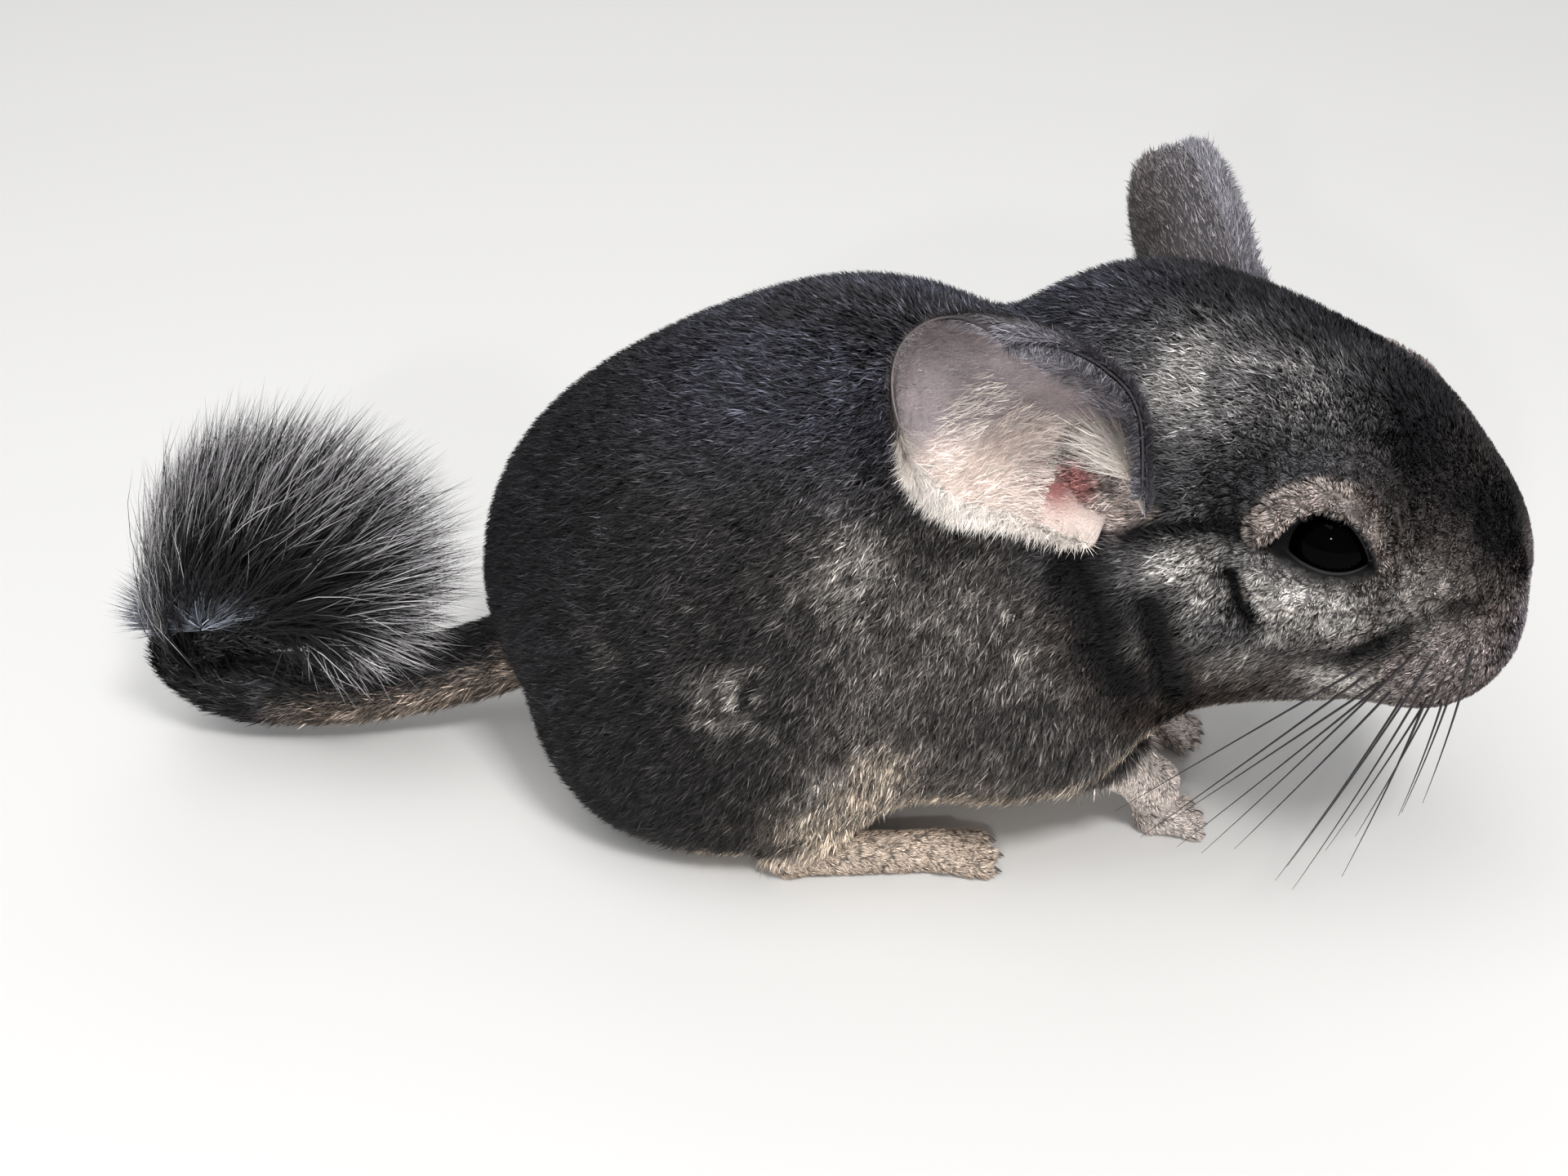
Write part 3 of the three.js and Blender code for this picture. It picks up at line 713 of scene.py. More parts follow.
def noise_node(nodes, links, vector, scale, detail=4.0, roughness=0.6):
    node = nodes.new("ShaderNodeTexNoise")
    node.inputs["Scale"].default_value = scale
    node.inputs["Detail"].default_value = detail
    node.inputs["Roughness"].default_value = roughness
    links.new(vector, node.inputs["Vector"])
    return node.outputs["Fac"]


def ramp_node(nodes, links, value, stops):
    node = nodes.new("ShaderNodeValToRGB")
    elements = node.color_ramp.elements
    while len(elements) < len(stops):
        elements.new(0.5)
    for element, (position, level) in zip(elements, stops):
        element.position = position
        element.color = (level, level, level, 1)
    links.new(value, node.inputs["Fac"])
    return node.outputs["Color"]


def maths(nodes, links, operation, a, b):
    node = add_node(nodes, "ShaderNodeMath", operation=operation)
    for socket, value in zip(node.inputs, (a, b)):
        if isinstance(value, (int, float)):
            socket.default_value = value
        else:
            links.new(value, socket)
    return node.outputs[0]


def scaled_colour(nodes, links, colour, factor):
    node = add_node(nodes, "ShaderNodeVectorMath", operation="SCALE")
    links.new(colour, node.inputs[0])
    links.new(factor, node.inputs["Scale"])
    return node.outputs[0]


def tinted(nodes, links, shader, level):
    """Gives the shader the mesh's own colours, times a level."""
    colour = attribute_node(nodes, "coat_colour").outputs["Color"]
    links.new(scaled_colour(nodes, links, colour, level), shader.inputs["Base Color"])


def bumped(nodes, links, shader, height, strength, distance):
    bump = nodes.new("ShaderNodeBump")
    bump.inputs["Strength"].default_value = strength
    bump.inputs["Distance"].default_value = distance
    links.new(height, bump.inputs["Height"])
    links.new(bump.outputs["Normal"], shader.inputs["Normal"])


def mottle_level(nodes, links, place):
    """A mottle of the coat, as strong as each place's own share of it."""
    mottle = ramp_node(nodes, links, noise_node(nodes, links, place, 420), [(0.32, 0.62), (0.68, 1.42)])
    share = attribute_node(nodes, "mottled").outputs["Fac"]
    change = maths(nodes, links, "MULTIPLY", maths(nodes, links, "SUBTRACT", mottle, 1.0), share)
    return maths(nodes, links, "ADD", change, 1.0)


def coat_material():
    """Hair with a dark root and tip, the coat's markings between them, and a mottle over both."""
    material, nodes, links, shader = new_material("coat", 0.6, 0.22)
    root = attribute_node(nodes, "root_place").outputs["Vector"]
    along = attribute_node(nodes, "along").outputs["Fac"]
    strand = attribute_node(nodes, "strand").outputs["Fac"]
    mottle = mottle_level(nodes, links, root)
    band = ramp_node(nodes, links, along, [(0.0, 0.15), (0.45, 0.4), (0.66, 1.0), (0.86, 1.05), (1.0, 0.45)])
    level = maths(nodes, links, "MULTIPLY", maths(nodes, links, "MULTIPLY", mottle, band), strand)
    tinted(nodes, links, shader, level)
    return material


def skin_material():
    """Skin under the coat, with its markings and the bump of short flat fur."""
    material, nodes, links, shader = new_material("skin", 0.8, 0.2)
    place = attribute_node(nodes, "root_place").outputs["Vector"]
    mottle = mottle_level(nodes, links, place)
    fine = noise_node(nodes, links, place, 2600, 6.0, 0.7)
    strands = ramp_node(nodes, links, fine, [(0.35, 0.35), (0.7, 1.0)])
    level = maths(nodes, links, "MULTIPLY", mottle, strands)
    tinted(nodes, links, shader, level)
    bumped(nodes, links, shader, fine, 0.5, 0.0004)
    return material


def plain_hair_material(name):
    material, nodes, links, shader = new_material(name, 0.55, 0.25)
    place = attribute_node(nodes, "root_place").outputs["Vector"]
    grain = ramp_node(nodes, links, noise_node(nodes, links, place, 900), [(0.3, 0.75), (0.7, 1.25)])
    tinted(nodes, links, shader, grain)
    return material


def ear_material():
    material, nodes, links, shader = new_material("ear", 0.8, 0.1)
    place = nodes.new("ShaderNodeTexCoord").outputs["Object"]
    fine = noise_node(nodes, links, place, 3800, 6.0, 0.75)
    broad = noise_node(nodes, links, place, 260, 3.0, 0.5)
    speckle = ramp_node(nodes, links, fine, [(0.36, 0.72), (0.66, 1.22)])
    cloud = ramp_node(nodes, links, broad, [(0.3, 0.88), (0.7, 1.12)])
    level = maths(nodes, links, "MULTIPLY", speckle, cloud)
    tinted(nodes, links, shader, level)
    shader.inputs["Subsurface Weight"].default_value = 0.15
    shader.inputs["Subsurface Radius"].default_value = (0.002, 0.0008, 0.0005)
    bumped(nodes, links, shader, fine, 0.35, 0.0003)
    return material


def eye_material():
    material, nodes, links, shader = new_material("eye", 0.04, 0.03)
    place = nodes.new("ShaderNodeTexCoord").outputs["Object"]
    mix = nodes.new("ShaderNodeMix")
    mix.data_type = "RGBA"
    mix.inputs["A"].default_value = (0.0002, 0.0002, 0.0002, 1)
    mix.inputs["B"].default_value = (0.0008, 0.0006, 0.0005, 1)
    links.new(noise_node(nodes, links, place, 500), mix.inputs["Factor"])
    links.new(mix.outputs["Result"], shader.inputs["Base Color"])
    return material


def horn_material(name, dark, light, roughness):
    material, nodes, links, shader = new_material(name, roughness, 0.45)
    place = nodes.new("ShaderNodeTexCoord").outputs["Object"]
    mix = nodes.new("ShaderNodeMix")
    mix.data_type = "RGBA"
    mix.inputs["A"].default_value = (*dark, 1)
    mix.inputs["B"].default_value = (*light, 1)
    grain = noise_node(nodes, links, place, 1500)
    links.new(grain, mix.inputs["Factor"])
    links.new(mix.outputs["Result"], shader.inputs["Base Color"])
    bumped(nodes, links, shader, grain, 0.25, 0.0002)
    return material


COAT = coat_material()
SKIN = skin_material()
HAIR = plain_hair_material("long_hair")
EAR = ear_material()
EYE = eye_material()
LID = horn_material("lid", (0.0015, 0.0012, 0.0012), (0.005, 0.004, 0.004), 0.7)
CLAW = horn_material("claw", (0.05, 0.042, 0.038), (0.16, 0.13, 0.11), 0.35)
WHISKER = horn_material("whisker", (0.006, 0.005, 0.006), (0.035, 0.028, 0.03), 0.3)

# Markings, as linear colours
BACK_GREY = np.array([0.048, 0.048, 0.062])
RUMP_BLACK = np.array([0.016, 0.015, 0.017])
FLANK_GREY = np.array([0.104, 0.094, 0.088])
DARK_FLANK = np.array([0.028, 0.0255, 0.025])
CREAM = np.array([0.72, 0.60, 0.48])
PALE_GREY = np.array([0.62, 0.57, 0.52])
HEAD_GREY = np.array([0.098, 0.094, 0.100])
CROWN_BLACK = np.array([0.008, 0.008, 0.010])
FACE_BROWN = np.array([0.21, 0.175, 0.158])
JOWL_BROWN = np.array([0.056, 0.040, 0.033])
CHEEK_PALE = np.array([0.95, 0.90, 0.85])
RIDGE_BROWN = np.array([0.80, 0.67, 0.60])
PAD_GREY = np.array([0.42, 0.36, 0.35])
NOSE_BLUE = np.array([0.27, 0.24, 0.29])
FOOT_CREAM = np.array([0.66, 0.545, 0.445])
PAW_WHITE = np.array([0.68, 0.60, 0.55])
TAIL_BROWN = np.array([0.27, 0.215, 0.175])
WHORL_GREY = np.array([0.12, 0.13, 0.155])
TAIL_BLACK = np.array([0.030, 0.028, 0.030])
# Black is the lids' and the brush's own colour, and is also painted into the creases and ear canals as shade.
BLACK = np.array([0.010, 0.009, 0.010])
EAR_TAUPE = np.array([0.38, 0.325, 0.335])
EAR_DEEP = np.array([0.19, 0.16, 0.165])
EAR_CREAM = np.array([0.82, 0.69, 0.63])
EAR_PINK = np.array([0.40, 0.18, 0.17])
EAR_GREY = np.array([0.165, 0.158, 0.175])
EAR_BACK = np.array([0.115, 0.100, 0.097])

# Pale mottles of both flanks: centre, radius and strength
BODY_SPOTS = [
    ([-5, -40, 39], 5.0, 0.8), ([-3.5, -40, 44], 4.0, 0.6), ([13, -34, 60], 6.0, 0.55),
    ([24, -34, 55], 5.0, 0.5), ([27, -34, 51], 4.0, 0.45), ([38, -33, 53], 5.5, 0.6),
    ([43, -33.5, 50], 4.5, 0.55), ([-23, -35, 44], 3.0, 0.3), ([-29, -32, 46], 2.6, 0.3),
    ([31, -31.5, 58], 5.0, 0.5), ([3, -36, 57], 4.0, 0.3), ([35, -31.5, 59], 4.0, 0.45),
    ([42, -34, 44], 4.5, 0.4), ([17, -37, 45], 4.5, 0.25), ([-12, -37, 52], 3.5, 0.25),
    ([12, -38, 24], 8.0, 0.7), ([-4, 40, 40], 6.0, 0.7), ([14, 34, 60], 6.0, 0.5), ([25, 34, 53], 6.0, 0.5),
    ([38, 32, 54], 5.5, 0.5), ([-24, 34, 44], 5.0, 0.35), ([12, 38, 24], 8.0, 0.7), ([4, 36, 56], 4.5, 0.3),
]
# Pale and dark places of the face, on its left side in the head's frame
FACE_PALE = [
    ([10, 25.5, 3.2], 5.0, 1.0), ([16, 24, 1.0], 6.0, 0.9), ([2, 26.2, 3.5], 5.5, 0.75),
    ([5.5, 25.8, -1.5], 4.0, 0.6), ([21, 22, 3.0], 5.5, 0.85), ([28.5, 16.5, -12.5], 5.0, 0.9),
    ([30, 17.5, 6], 7.0, 0.25), ([4, 27, -10], 5.5, 0.3), ([-2, 28, -14], 5.0, 0.3),
    ([14, 22, -12], 5.0, 0.3),
]
FACE_DARK = [
    ([2, 23, 14], 7.0, 0.75), ([-6, 25, 11], 6.0, 0.8), ([22, 17.5, 12], 4.0, 0.6), ([24, 8, 24], 8.0, 0.5),
    ([20, 23.5, -3], 4.0, 0.4), ([24, 20, -7], 4.0, 0.5), ([10, 24, -12], 5.0, 0.3),
]
# Pale places of the crown, on its right side only
CROWN_PALE = [([-8, -12, 25], 8.0, 0.36), ([4, -7, 26.5], 7.0, 0.26), ([-13, -17, 20], 7.0, 0.3)]
# Cream front border of the thigh, on the animal's left side
THIGH_CREAM = [([18, 36.5, 26], 5.0, 0.8), ([16, 36.5, 19], 6.5, 1.0), ([10, 36, 12], 6.5, 1.0)]


def spots(points, places):
    cover = np.zeros(len(points))
    for centre, radius, strength in places:
        away = np.sum((points - np.array(centre, float)) ** 2, axis=1)
        cover = np.maximum(cover, strength * np.exp(-away / radius**2))
    return cover


def towards(colour, other, share):
    return colour + (other - colour) * np.asarray(share)[:, None]


def parts_of(points, local):
    """How much each point belongs to the head, the feet and the tail, and how far along the tail it is."""
    head = smooth(ellipsoid(local, *HEAD_BOUND), 5, -3)
    body = body_field(points, local)
    limbs = np.full(len(points), 60.0)
    low = points[:, 2] < 30
    limbs[low] = limb_fields(points[low])
    away, along = tail_field(points)
    feet = smooth(limbs - body, 0.5, -2.5)
    tail = smooth(away - body, 0.5, -5)
    return head, feet, tail, along


def coat_colours(points, normals):
    local = head_local(points)
    folded = left_side(local)
    head, feet, tail, along = parts_of(points, local)
    up, height = normals[:, 2], points[:, 2]
    colour = towards(np.tile(FLANK_GREY, (len(points), 1)), DARK_FLANK, smooth(points[:, 0], 16, -2))
    colour = towards(colour, BACK_GREY, smooth(height, 62, 76))
    colour = towards(colour, DARK_FLANK, 0.6 * smooth(noise(points, 12, 3), 0.0, 0.6))
    colour = towards(colour, RUMP_BLACK, smooth(points[:, 0], -6, -34))
    patchy = 1.15 * spots(points, BODY_SPOTS) * smooth(noise(points, 1.9, 5), -0.35, 0.6)
    colour = towards(colour, PALE_GREY, np.clip(patchy, 0, 1))
    low_down = smooth(up + 0.12 * noise(points, 5, 8), -0.36, -0.66) * smooth(height, 40, 26)
    low_down = np.maximum(low_down, smooth(height, 16, 9) * smooth(points[:, 0], 2, 9))
    low_down = low_down * smooth(points[:, 0], -24, -10)
    low_down = np.maximum(low_down, np.clip(spots(left_side(points), THIGH_CREAM) * 1.4, 0, 1))
    colour = towards(colour, CREAM, low_down)

    face = towards(np.tile(HEAD_GREY, (len(points), 1)), FACE_BROWN, smooth(local[:, 0], 10, 32))
    half_stripe = 10.5 + 3 * smooth(local[:, 0], 8, 28)
    aside = local[:, 1] - 6.5 * smooth(local[:, 0], 22, 4)
    stripe = np.exp(-((np.abs(aside) / half_stripe) ** 4)) * smooth(local[:, 2], 4, 16)
    stripe = stripe * (0.95 + 0.25 * noise(points, 5, 9))
    jowl = smooth(local[:, 2], -6, -15) * smooth(local[:, 0], 26, 14)
    face = towards(face, JOWL_BROWN, jowl)
    mottled = 1.5 + 1.0 * noise(points, 2.0, 6)
    face = towards(face, CHEEK_PALE, np.clip(spots(folded, FACE_PALE) * mottled, 0, 1))
    crown = spots(local, CROWN_PALE) * (0.8 + 0.9 * noise(points, 2.6, 7))
    face = towards(face, CHEEK_PALE, np.clip(crown, 0, 1))
    face = towards(face, CROWN_BLACK, np.clip(stripe, 0, 0.97))
    face = towards(face, CROWN_BLACK, np.clip(spots(folded, FACE_DARK), 0, 1))
    ridge = np.exp(-((from_ridge(local) / 1.75) ** 2))
    face = towards(face, RIDGE_BROWN, np.clip(1.5 * ridge, 0, 0.97))
    pad = smooth(ellipsoid(folded, [36.5, 9, -4], [10, 10, 9.5]), 1.5, -3)
    face = towards(face, PAD_GREY, 0.85 * pad)
    nose = smooth(local[:, 0] + 0.25 * local[:, 2], 43, 48)
    face = towards(face, NOSE_BLUE, 0.8 * nose)
    under = smooth(normals @ head_way([0, 0, 1]), -0.5, -0.85) * smooth(local[:, 0], 34, 22)
    face = towards(face, CREAM, under)
    rim = smooth(np.abs(opening_field(folded)), 1.5, 0.3) * (ellipsoid(folded, EYE_PLACE, [11, 11, 11]) < 0)
    face = towards(face, BLACK, rim)
    colour = towards(colour, face, head)
    # Painted shade: the creases of the face and neck are darkened towards black, besides being cut into the
    # skin.
    crease_shade = (local[:, 0] > FACE_FROM) * crease_share(folded, coat_depth(points, local), 1.8)
    colour = towards(colour, BLACK, np.clip(1.5 * crease_shade, 0, 1))
    well = ear_well(points)
    colour = towards(colour, EAR_CREAM * 0.7, well)
    colour = towards(colour, EAR_PINK, well * smooth(place_distance(points, "recess"), 5.0, 3.0))
    # Painted shade: the skin round each ear canal's hole is darkened to black.
    colour = towards(colour, BLACK, well * smooth(place_distance(points, "canal"), 3.4, 2.2))

    foot = towards(np.tile(FOOT_CREAM, (len(points), 1)), PAW_WHITE, smooth(points[:, 0], 40, 50))
    colour = towards(colour, foot, feet)
    tail_tone = towards(np.tile(TAIL_BROWN, (len(points), 1)), TAIL_BLACK, smooth(up, -0.1, 0.6))
    tail_tone = towards(tail_tone, TAIL_BLACK, smooth(along, 0.42, 0.55))
    return towards(colour, tail_tone, tail)


def lie_of_coat(points, normals):
    """The way the hair points, along the skin."""
    local = head_local(points)
    head, feet, tail, along = parts_of(points, local)
    down = smooth(points[:, 0], -40, 20)
    side = np.sign(points[:, 1])
    body_way = np.stack([-0.95 + 0.35 * down, 0.1 * side, -0.15 - 0.75 * down], 1)
    out = np.sign(local[:, 1]) * np.minimum(np.abs(local[:, 1]) / 8, 1)
    even = np.ones(len(points))
    face_way = np.stack([-0.85 * even, 0.25 * out, -0.42 * even], 1) @ HEAD_TURN.T
    foot_way = np.stack([smooth(points[:, 2], 10, 5), 0 * side, -0.3 - smooth(points[:, 2], 5, 9)], 1)
    step = 1 / (len(TAIL_POINTS) - 1)
    index = np.clip((along / step).astype(int), 0, len(TAIL_POINTS) - 2)
    tail_way = unit(TAIL_POINTS[index + 1] - TAIL_POINTS[index])
    way = towards(body_way, face_way, head)
    way = towards(way, foot_way, feet)
    way = towards(way, tail_way, tail)
    waver = np.stack([noise(points, 7, seed) for seed in (21, 22, 23)], 1)
    way = unit(way) + 0.35 * waver
    return unit(way - normals * np.sum(way * normals, axis=1)[:, None])


def coat_sizes(points, normals):
    """Length, width and height of the tufts in millimetres, and how many stand on a square millimetre."""
    local = head_local(points)
    head, feet, tail, _ = parts_of(points, local)
    muzzle = smooth(local[:, 0], 8, 34)
    around_eye = smooth(from_eye(local), 25, 12)
    short = np.maximum(muzzle, around_eye)
    at_lids = smooth(from_eye(local), 12.5, 9.5)
    length = np.full(len(points), 4.8)
    width = np.full(len(points), 0.27)
    density = np.where(normals[:, 2] < -0.7, 6.0, 13.8)

    def set_to(values, share, value):
        return values + (value - values) * share

    folds = crease_share(left_side(local), coat_depth(points, local), 1.4)
    length = set_to(length, head, (3.8 - 2.5 * short - 0.5 * at_lids) * (1 - 0.5 * folds))
    width = set_to(width, head, 0.25 - 0.07 * short)
    density = set_to(density, head, 17.0 + 8.0 * short)
    under = smooth(normals[:, 2], -0.3, -0.6) * smooth(points[:, 0], -2, 12) * (1 - head) * (1 - feet)
    length = set_to(length, under, 8.5)
    well = ear_well(points)
    length = set_to(length, well, 2.2)
    length = set_to(length, feet, 1.5)
    width = set_to(width, feet, 0.17)
    density = set_to(density, feet, 24.0)
    length = set_to(length, tail, 5.0)
    width = set_to(width, tail, 0.3)
    density = set_to(density, tail, 8.0)
    height = coat_depth(points, local) * (1 - 0.6 * folds * head)
    height = set_to(height, well, 0.7)
    height = set_to(height, feet, 0.6)
    height = set_to(height, tail, 1.6)
    return length, width, height, density


# Skin
def make_skin():
    lengthwise = np.concatenate([np.arange(-112, 54, TRUNK_STEP), np.arange(54, 113, FACE_STEP)])
    axes = [lengthwise, np.arange(-45, 45, GRID_STEP), np.arange(-1, 100, GRID_STEP)]
    points, quads = surface_net(skin_field, axes)
    points = settled(skin_field, points, quads)
    skin = mesh_piece("skin", points, quads, SKIN)
    bpy.context.view_layer.objects.active = skin
    skin.select_set(True)
    bpy.ops.object.mode_set(mode="EDIT")
    bpy.ops.mesh.select_all(action="SELECT")
    bpy.ops.uv.smart_project(angle_limit=1.15, island_margin=0.002)
    bpy.ops.object.mode_set(mode="OBJECT")
    skin.select_set(False)
    layer = skin.data.uv_layers[0]
    layer.name = UV_MAP
    uv = np.zeros(len(quads) * 8, np.float32)
    layer.uv.foreach_get("vector", uv)
    normals = vertex_normals(points, quads)
    set_values(skin, "coat_colour", with_alpha(coat_colours(points, normals) * SKIN_SHADE))
    set_values(skin, "root_place", metres(points))
    set_values(skin, "mottled", 1 - 0.8 * parts_of(points, head_local(points))[1])
    finished(
        skin, "coat", "head", "neck", "torso", "thigh_left", "thigh_right", "shoulder_left", "shoulder_right",
        "hind_foot_left", "hind_foot_right", "forepaw_left", "forepaw_right", "tail_base", "tail_middle",
    )
    return points, quads, normals, uv.reshape(-1, 4, 2)


def scattered(points, quads, normals, uv, density_of):
    """Places spread evenly over quads: point, normal and place in the unwrap."""
    corners = np.concatenate([quads[:, [0, 1, 2]], quads[:, [0, 2, 3]]])
    corner_uv = np.concatenate([uv[:, [0, 1, 2]], uv[:, [0, 2, 3]]])
    a, b, c = (points[corners[:, i]] for i in range(3))
    area = np.linalg.norm(np.cross(b - a, c - a), axis=1) / 2
    middle_normal = unit(normals[corners].sum(axis=1))
    wanted = np.cumsum(area * density_of((a + b + c) / 3, middle_normal))
    count = int(wanted[-1])
    chosen = np.searchsorted(wanted, np.arange(count) + rng.random(count))
    chosen = np.minimum(chosen, len(corners) - 1)
    s, t = rng.random((2, count))
    over = s + t > 1
    s[over], t[over] = 1 - s[over], 1 - t[over]
    weights = np.stack([1 - s - t, s, t], 1)[:, :, None]
    triangle = corners[chosen]
    place = (points[triangle] * weights).sum(axis=1)
    normal = unit((normals[triangle] * weights).sum(axis=1))
    return place, normal, (corner_uv[chosen] * weights).sum(axis=1)


# Hair, as flat tapered blades on curves
def on_curve(root, bend, tip, t):
    """Places on the hairs' curves, and the way the curves run there."""
    place = (1 - t) ** 2 * root + 2 * t * (1 - t) * bend + t * t * tip
    return place, unit(2 * (1 - t) * (bend - root) + 2 * t * (tip - bend))


def blades(root, bend, tip, facing, width, steps):
    """Corners of the blades, how far along they are, and the way each corner faces."""
    corners, along, faces_way = [], [], []
    for t in np.linspace(0, 1, steps + 1):
        centre, tangent = on_curve(root, bend, tip, t)
        side = unit(np.cross(tangent, facing))
        up = np.cross(side, tangent)
        half = (width / 2 * (1 - t**2.2))[:, None]
        for hand in ((-1, 1) if t < 1 else (0,)):
            corners.append(centre + hand * half * side)
            along.append(np.full(len(root), t))
            faces_way.append(unit(up + 0.5 * hand * side))
    return corners, along, faces_way


def blade_pattern(steps):
    rows = [[[2 * k, 2 * k + 1, 2 * k + 3], [2 * k, 2 * k + 3, 2 * k + 2]] for k in range(steps - 1)]
    last = 2 * (steps - 1)
    return np.array([face for row in rows for face in row] + [[last, last + 1, last + 2]])


def short_blades(root, bend, tip, facing, width):
    """Short hairs, each a kite of two triangles that is widest where it comes out of the coat."""
    corners, along, faces_way = [root], [np.zeros(len(root))], [facing]
    centre, tangent = on_curve(root, bend, tip, SHORT_WIDEST)
    side = unit(np.cross(tangent, facing))
    for hand in (-1, 1):
        corners.append(centre + hand * side * (width / 2)[:, None])
        along.append(np.full(len(root), SHORT_WIDEST))
        faces_way.append(unit(np.cross(side, tangent) + 0.5 * hand * side))
    return [*corners, tip], [*along, np.ones(len(root))], [*faces_way, facing]


def blade_piece(name, material, root, bend, tip, facing, width, steps, colour, strand, uv, round_normal):
    """One mesh of blades, with what their material reads from each corner."""
    if steps:
        corners, along, faces_way = blades(root, bend, tip, facing, width, steps)
        pattern = blade_pattern(steps)
    else:
        corners, along, faces_way = short_blades(root, bend, tip, facing, width)
        pattern = np.array([[0, 2, 1], [1, 2, 3]])
    corners, along, faces_way = (np.stack(part, 1) for part in (corners, along, faces_way))
    corners[:, :, 2] = np.maximum(corners[:, :, 2], FLOOR_CLEARANCE)
    count, each = along.shape
    faces = (np.arange(count)[:, None, None] * each + pattern).reshape(-1, 3)
    piece = mesh_piece(name, corners.reshape(-1, 3), faces, material)
    corner_colour = np.repeat(colour, each, axis=0) if colour.ndim == 2 else colour.reshape(-1, 3)
    set_values(piece, "coat_colour", with_alpha(corner_colour))
    set_values(piece, "root_place", np.repeat(metres(root), each, axis=0))
    set_values(piece, "along", along.ravel())
    set_values(piece, "strand", np.repeat(strand, each))
    turn = np.linspace(0, 2 * np.pi, each + 1)[:-1]
    spread = 0.5 * np.stack([np.cos(turn), np.sin(turn)], 1)
    corner_uv = (uv[:, None, :] + TUFT_PATCH * spread).reshape(-1, 2)
    set_uv(piece, corner_uv[faces.ravel()])
    normal = unit(faces_way * (1 - round_normal) + facing[:, None, :] * round_normal).reshape(-1, 3)
    piece.data.normals_split_custom_set_from_vertices(normal.astype(np.float32))
    return piece


def make_coat(points, quads, normals, uv):
    def density(places, ways):
        local = head_local(places)
        amount = coat_sizes(places, ways)[3]
        bare = (opening_field(left_side(local)) < 0.7) & (from_eye(local) < 10)
        bare |= place_distance(places, "canal") < CANAL_RADIUS + 0.4
        bare |= place_distance(places, "recess") < CANAL_RADIUS + 0.4
        return np.where(bare | (places[:, 2] < 0.4), 0, amount)

    root, normal, root_uv = scattered(points, quads, normals, uv, density)
    length, width, height, _ = coat_sizes(root, normal)
    way = lie_of_coat(root, normal)
    count = len(root)
    turn = rng.normal(0, 0.38, count)[:, None]
    way = unit(way + turn * np.cross(normal, way))
    length = length * rng.uniform(0.75, 1.15, count)
    height = height * rng.uniform(0.7, 1.12, count)
    centre = clump_centres(root, CLUMP_SIZE, 31)
    pull = centre - root
    pull = pull - normal * np.sum(pull * normal, axis=1)[:, None]
    reach = np.sqrt(np.maximum(length**2 - height**2, 0.2))[:, None]
    tip = root + way * reach + normal * height[:, None] + 0.4 * pull
    bend = root + way * reach * 0.35 + normal * height[:, None] * 0.85 + 0.1 * pull
    tilt = rng.normal(0, 0.45, count)[:, None]
    facing = unit(normal + tilt * np.cross(normal, way))
    colour = coat_colours(root + 0.6 * (way * reach + 0.4 * pull), normal)
    on_head, feet, _, _ = parts_of(root, head_local(root))
    near_eye = smooth(from_eye(head_local(root)), 22, 12)
    spread = 0.85 - (0.3 + 0.2 * near_eye) * on_head - 0.5 * feet
    strand = np.exp(spread * rng.normal(0, 1, count) - 0.42 * spread)
    uneven = (0.7 - 0.3 * on_head) * (1 - feet)
    strand = strand * (1 + uneven * noise(centre * 7.0, 3.0, 41)) * (1 + 0.3 * feet)
    strand = np.minimum(strand, STRAND_BRIGHTEST)
    root = root - normal * 0.3
    split_by = np.lexsort((root[:, 2], root[:, 0] // 1))
    pieces = int(np.ceil(count / MOST_BLADES))
    for number, some in enumerate(np.array_split(split_by, pieces)):
        piece = blade_piece(
            f"coat_{number}", COAT, root[some], bend[some], tip[some], facing[some], width[some], 0,
            colour[some], strand[some], root_uv[some], 0.55,
        )
        each = len(piece.data.vertices) // len(some)
        set_values(piece, "mottled", np.repeat(1 - 0.8 * feet[some], each))
        finished(piece, "coat")


# Brush: long hairs from the tail's curled-up end out to a rounded fan
def fan_reach(turn):
    behind = np.maximum(turn - FAN_LONGEST_TURN, 0) / (FAN_FROM - FAN_LONGEST_TURN)
    ahead = np.maximum(FAN_LONGEST_TURN - turn, 0) / (FAN_LONGEST_TURN - FAN_TO)
    return FAN_LONGEST * (1 - FAN_BEHIND * behind**1.5 - FAN_AHEAD * ahead**2)


def nearest_uv(points, uv, quads, places, stride=7):
    """A place in the unwrap for each of some places, from the skin's nearest corner."""
    sample = np.arange(0, len(quads), stride)
    corner = points[quads[sample, 0]]
    result = np.zeros((len(places), 2))
    for some in np.array_split(np.arange(len(places)), max(1, len(places) // 400)):
        away = ((places[some][:, None, :] - corner[None]) ** 2).sum(axis=2)
        result[some] = uv[sample[np.argmin(away, axis=1)], 0]
    return result


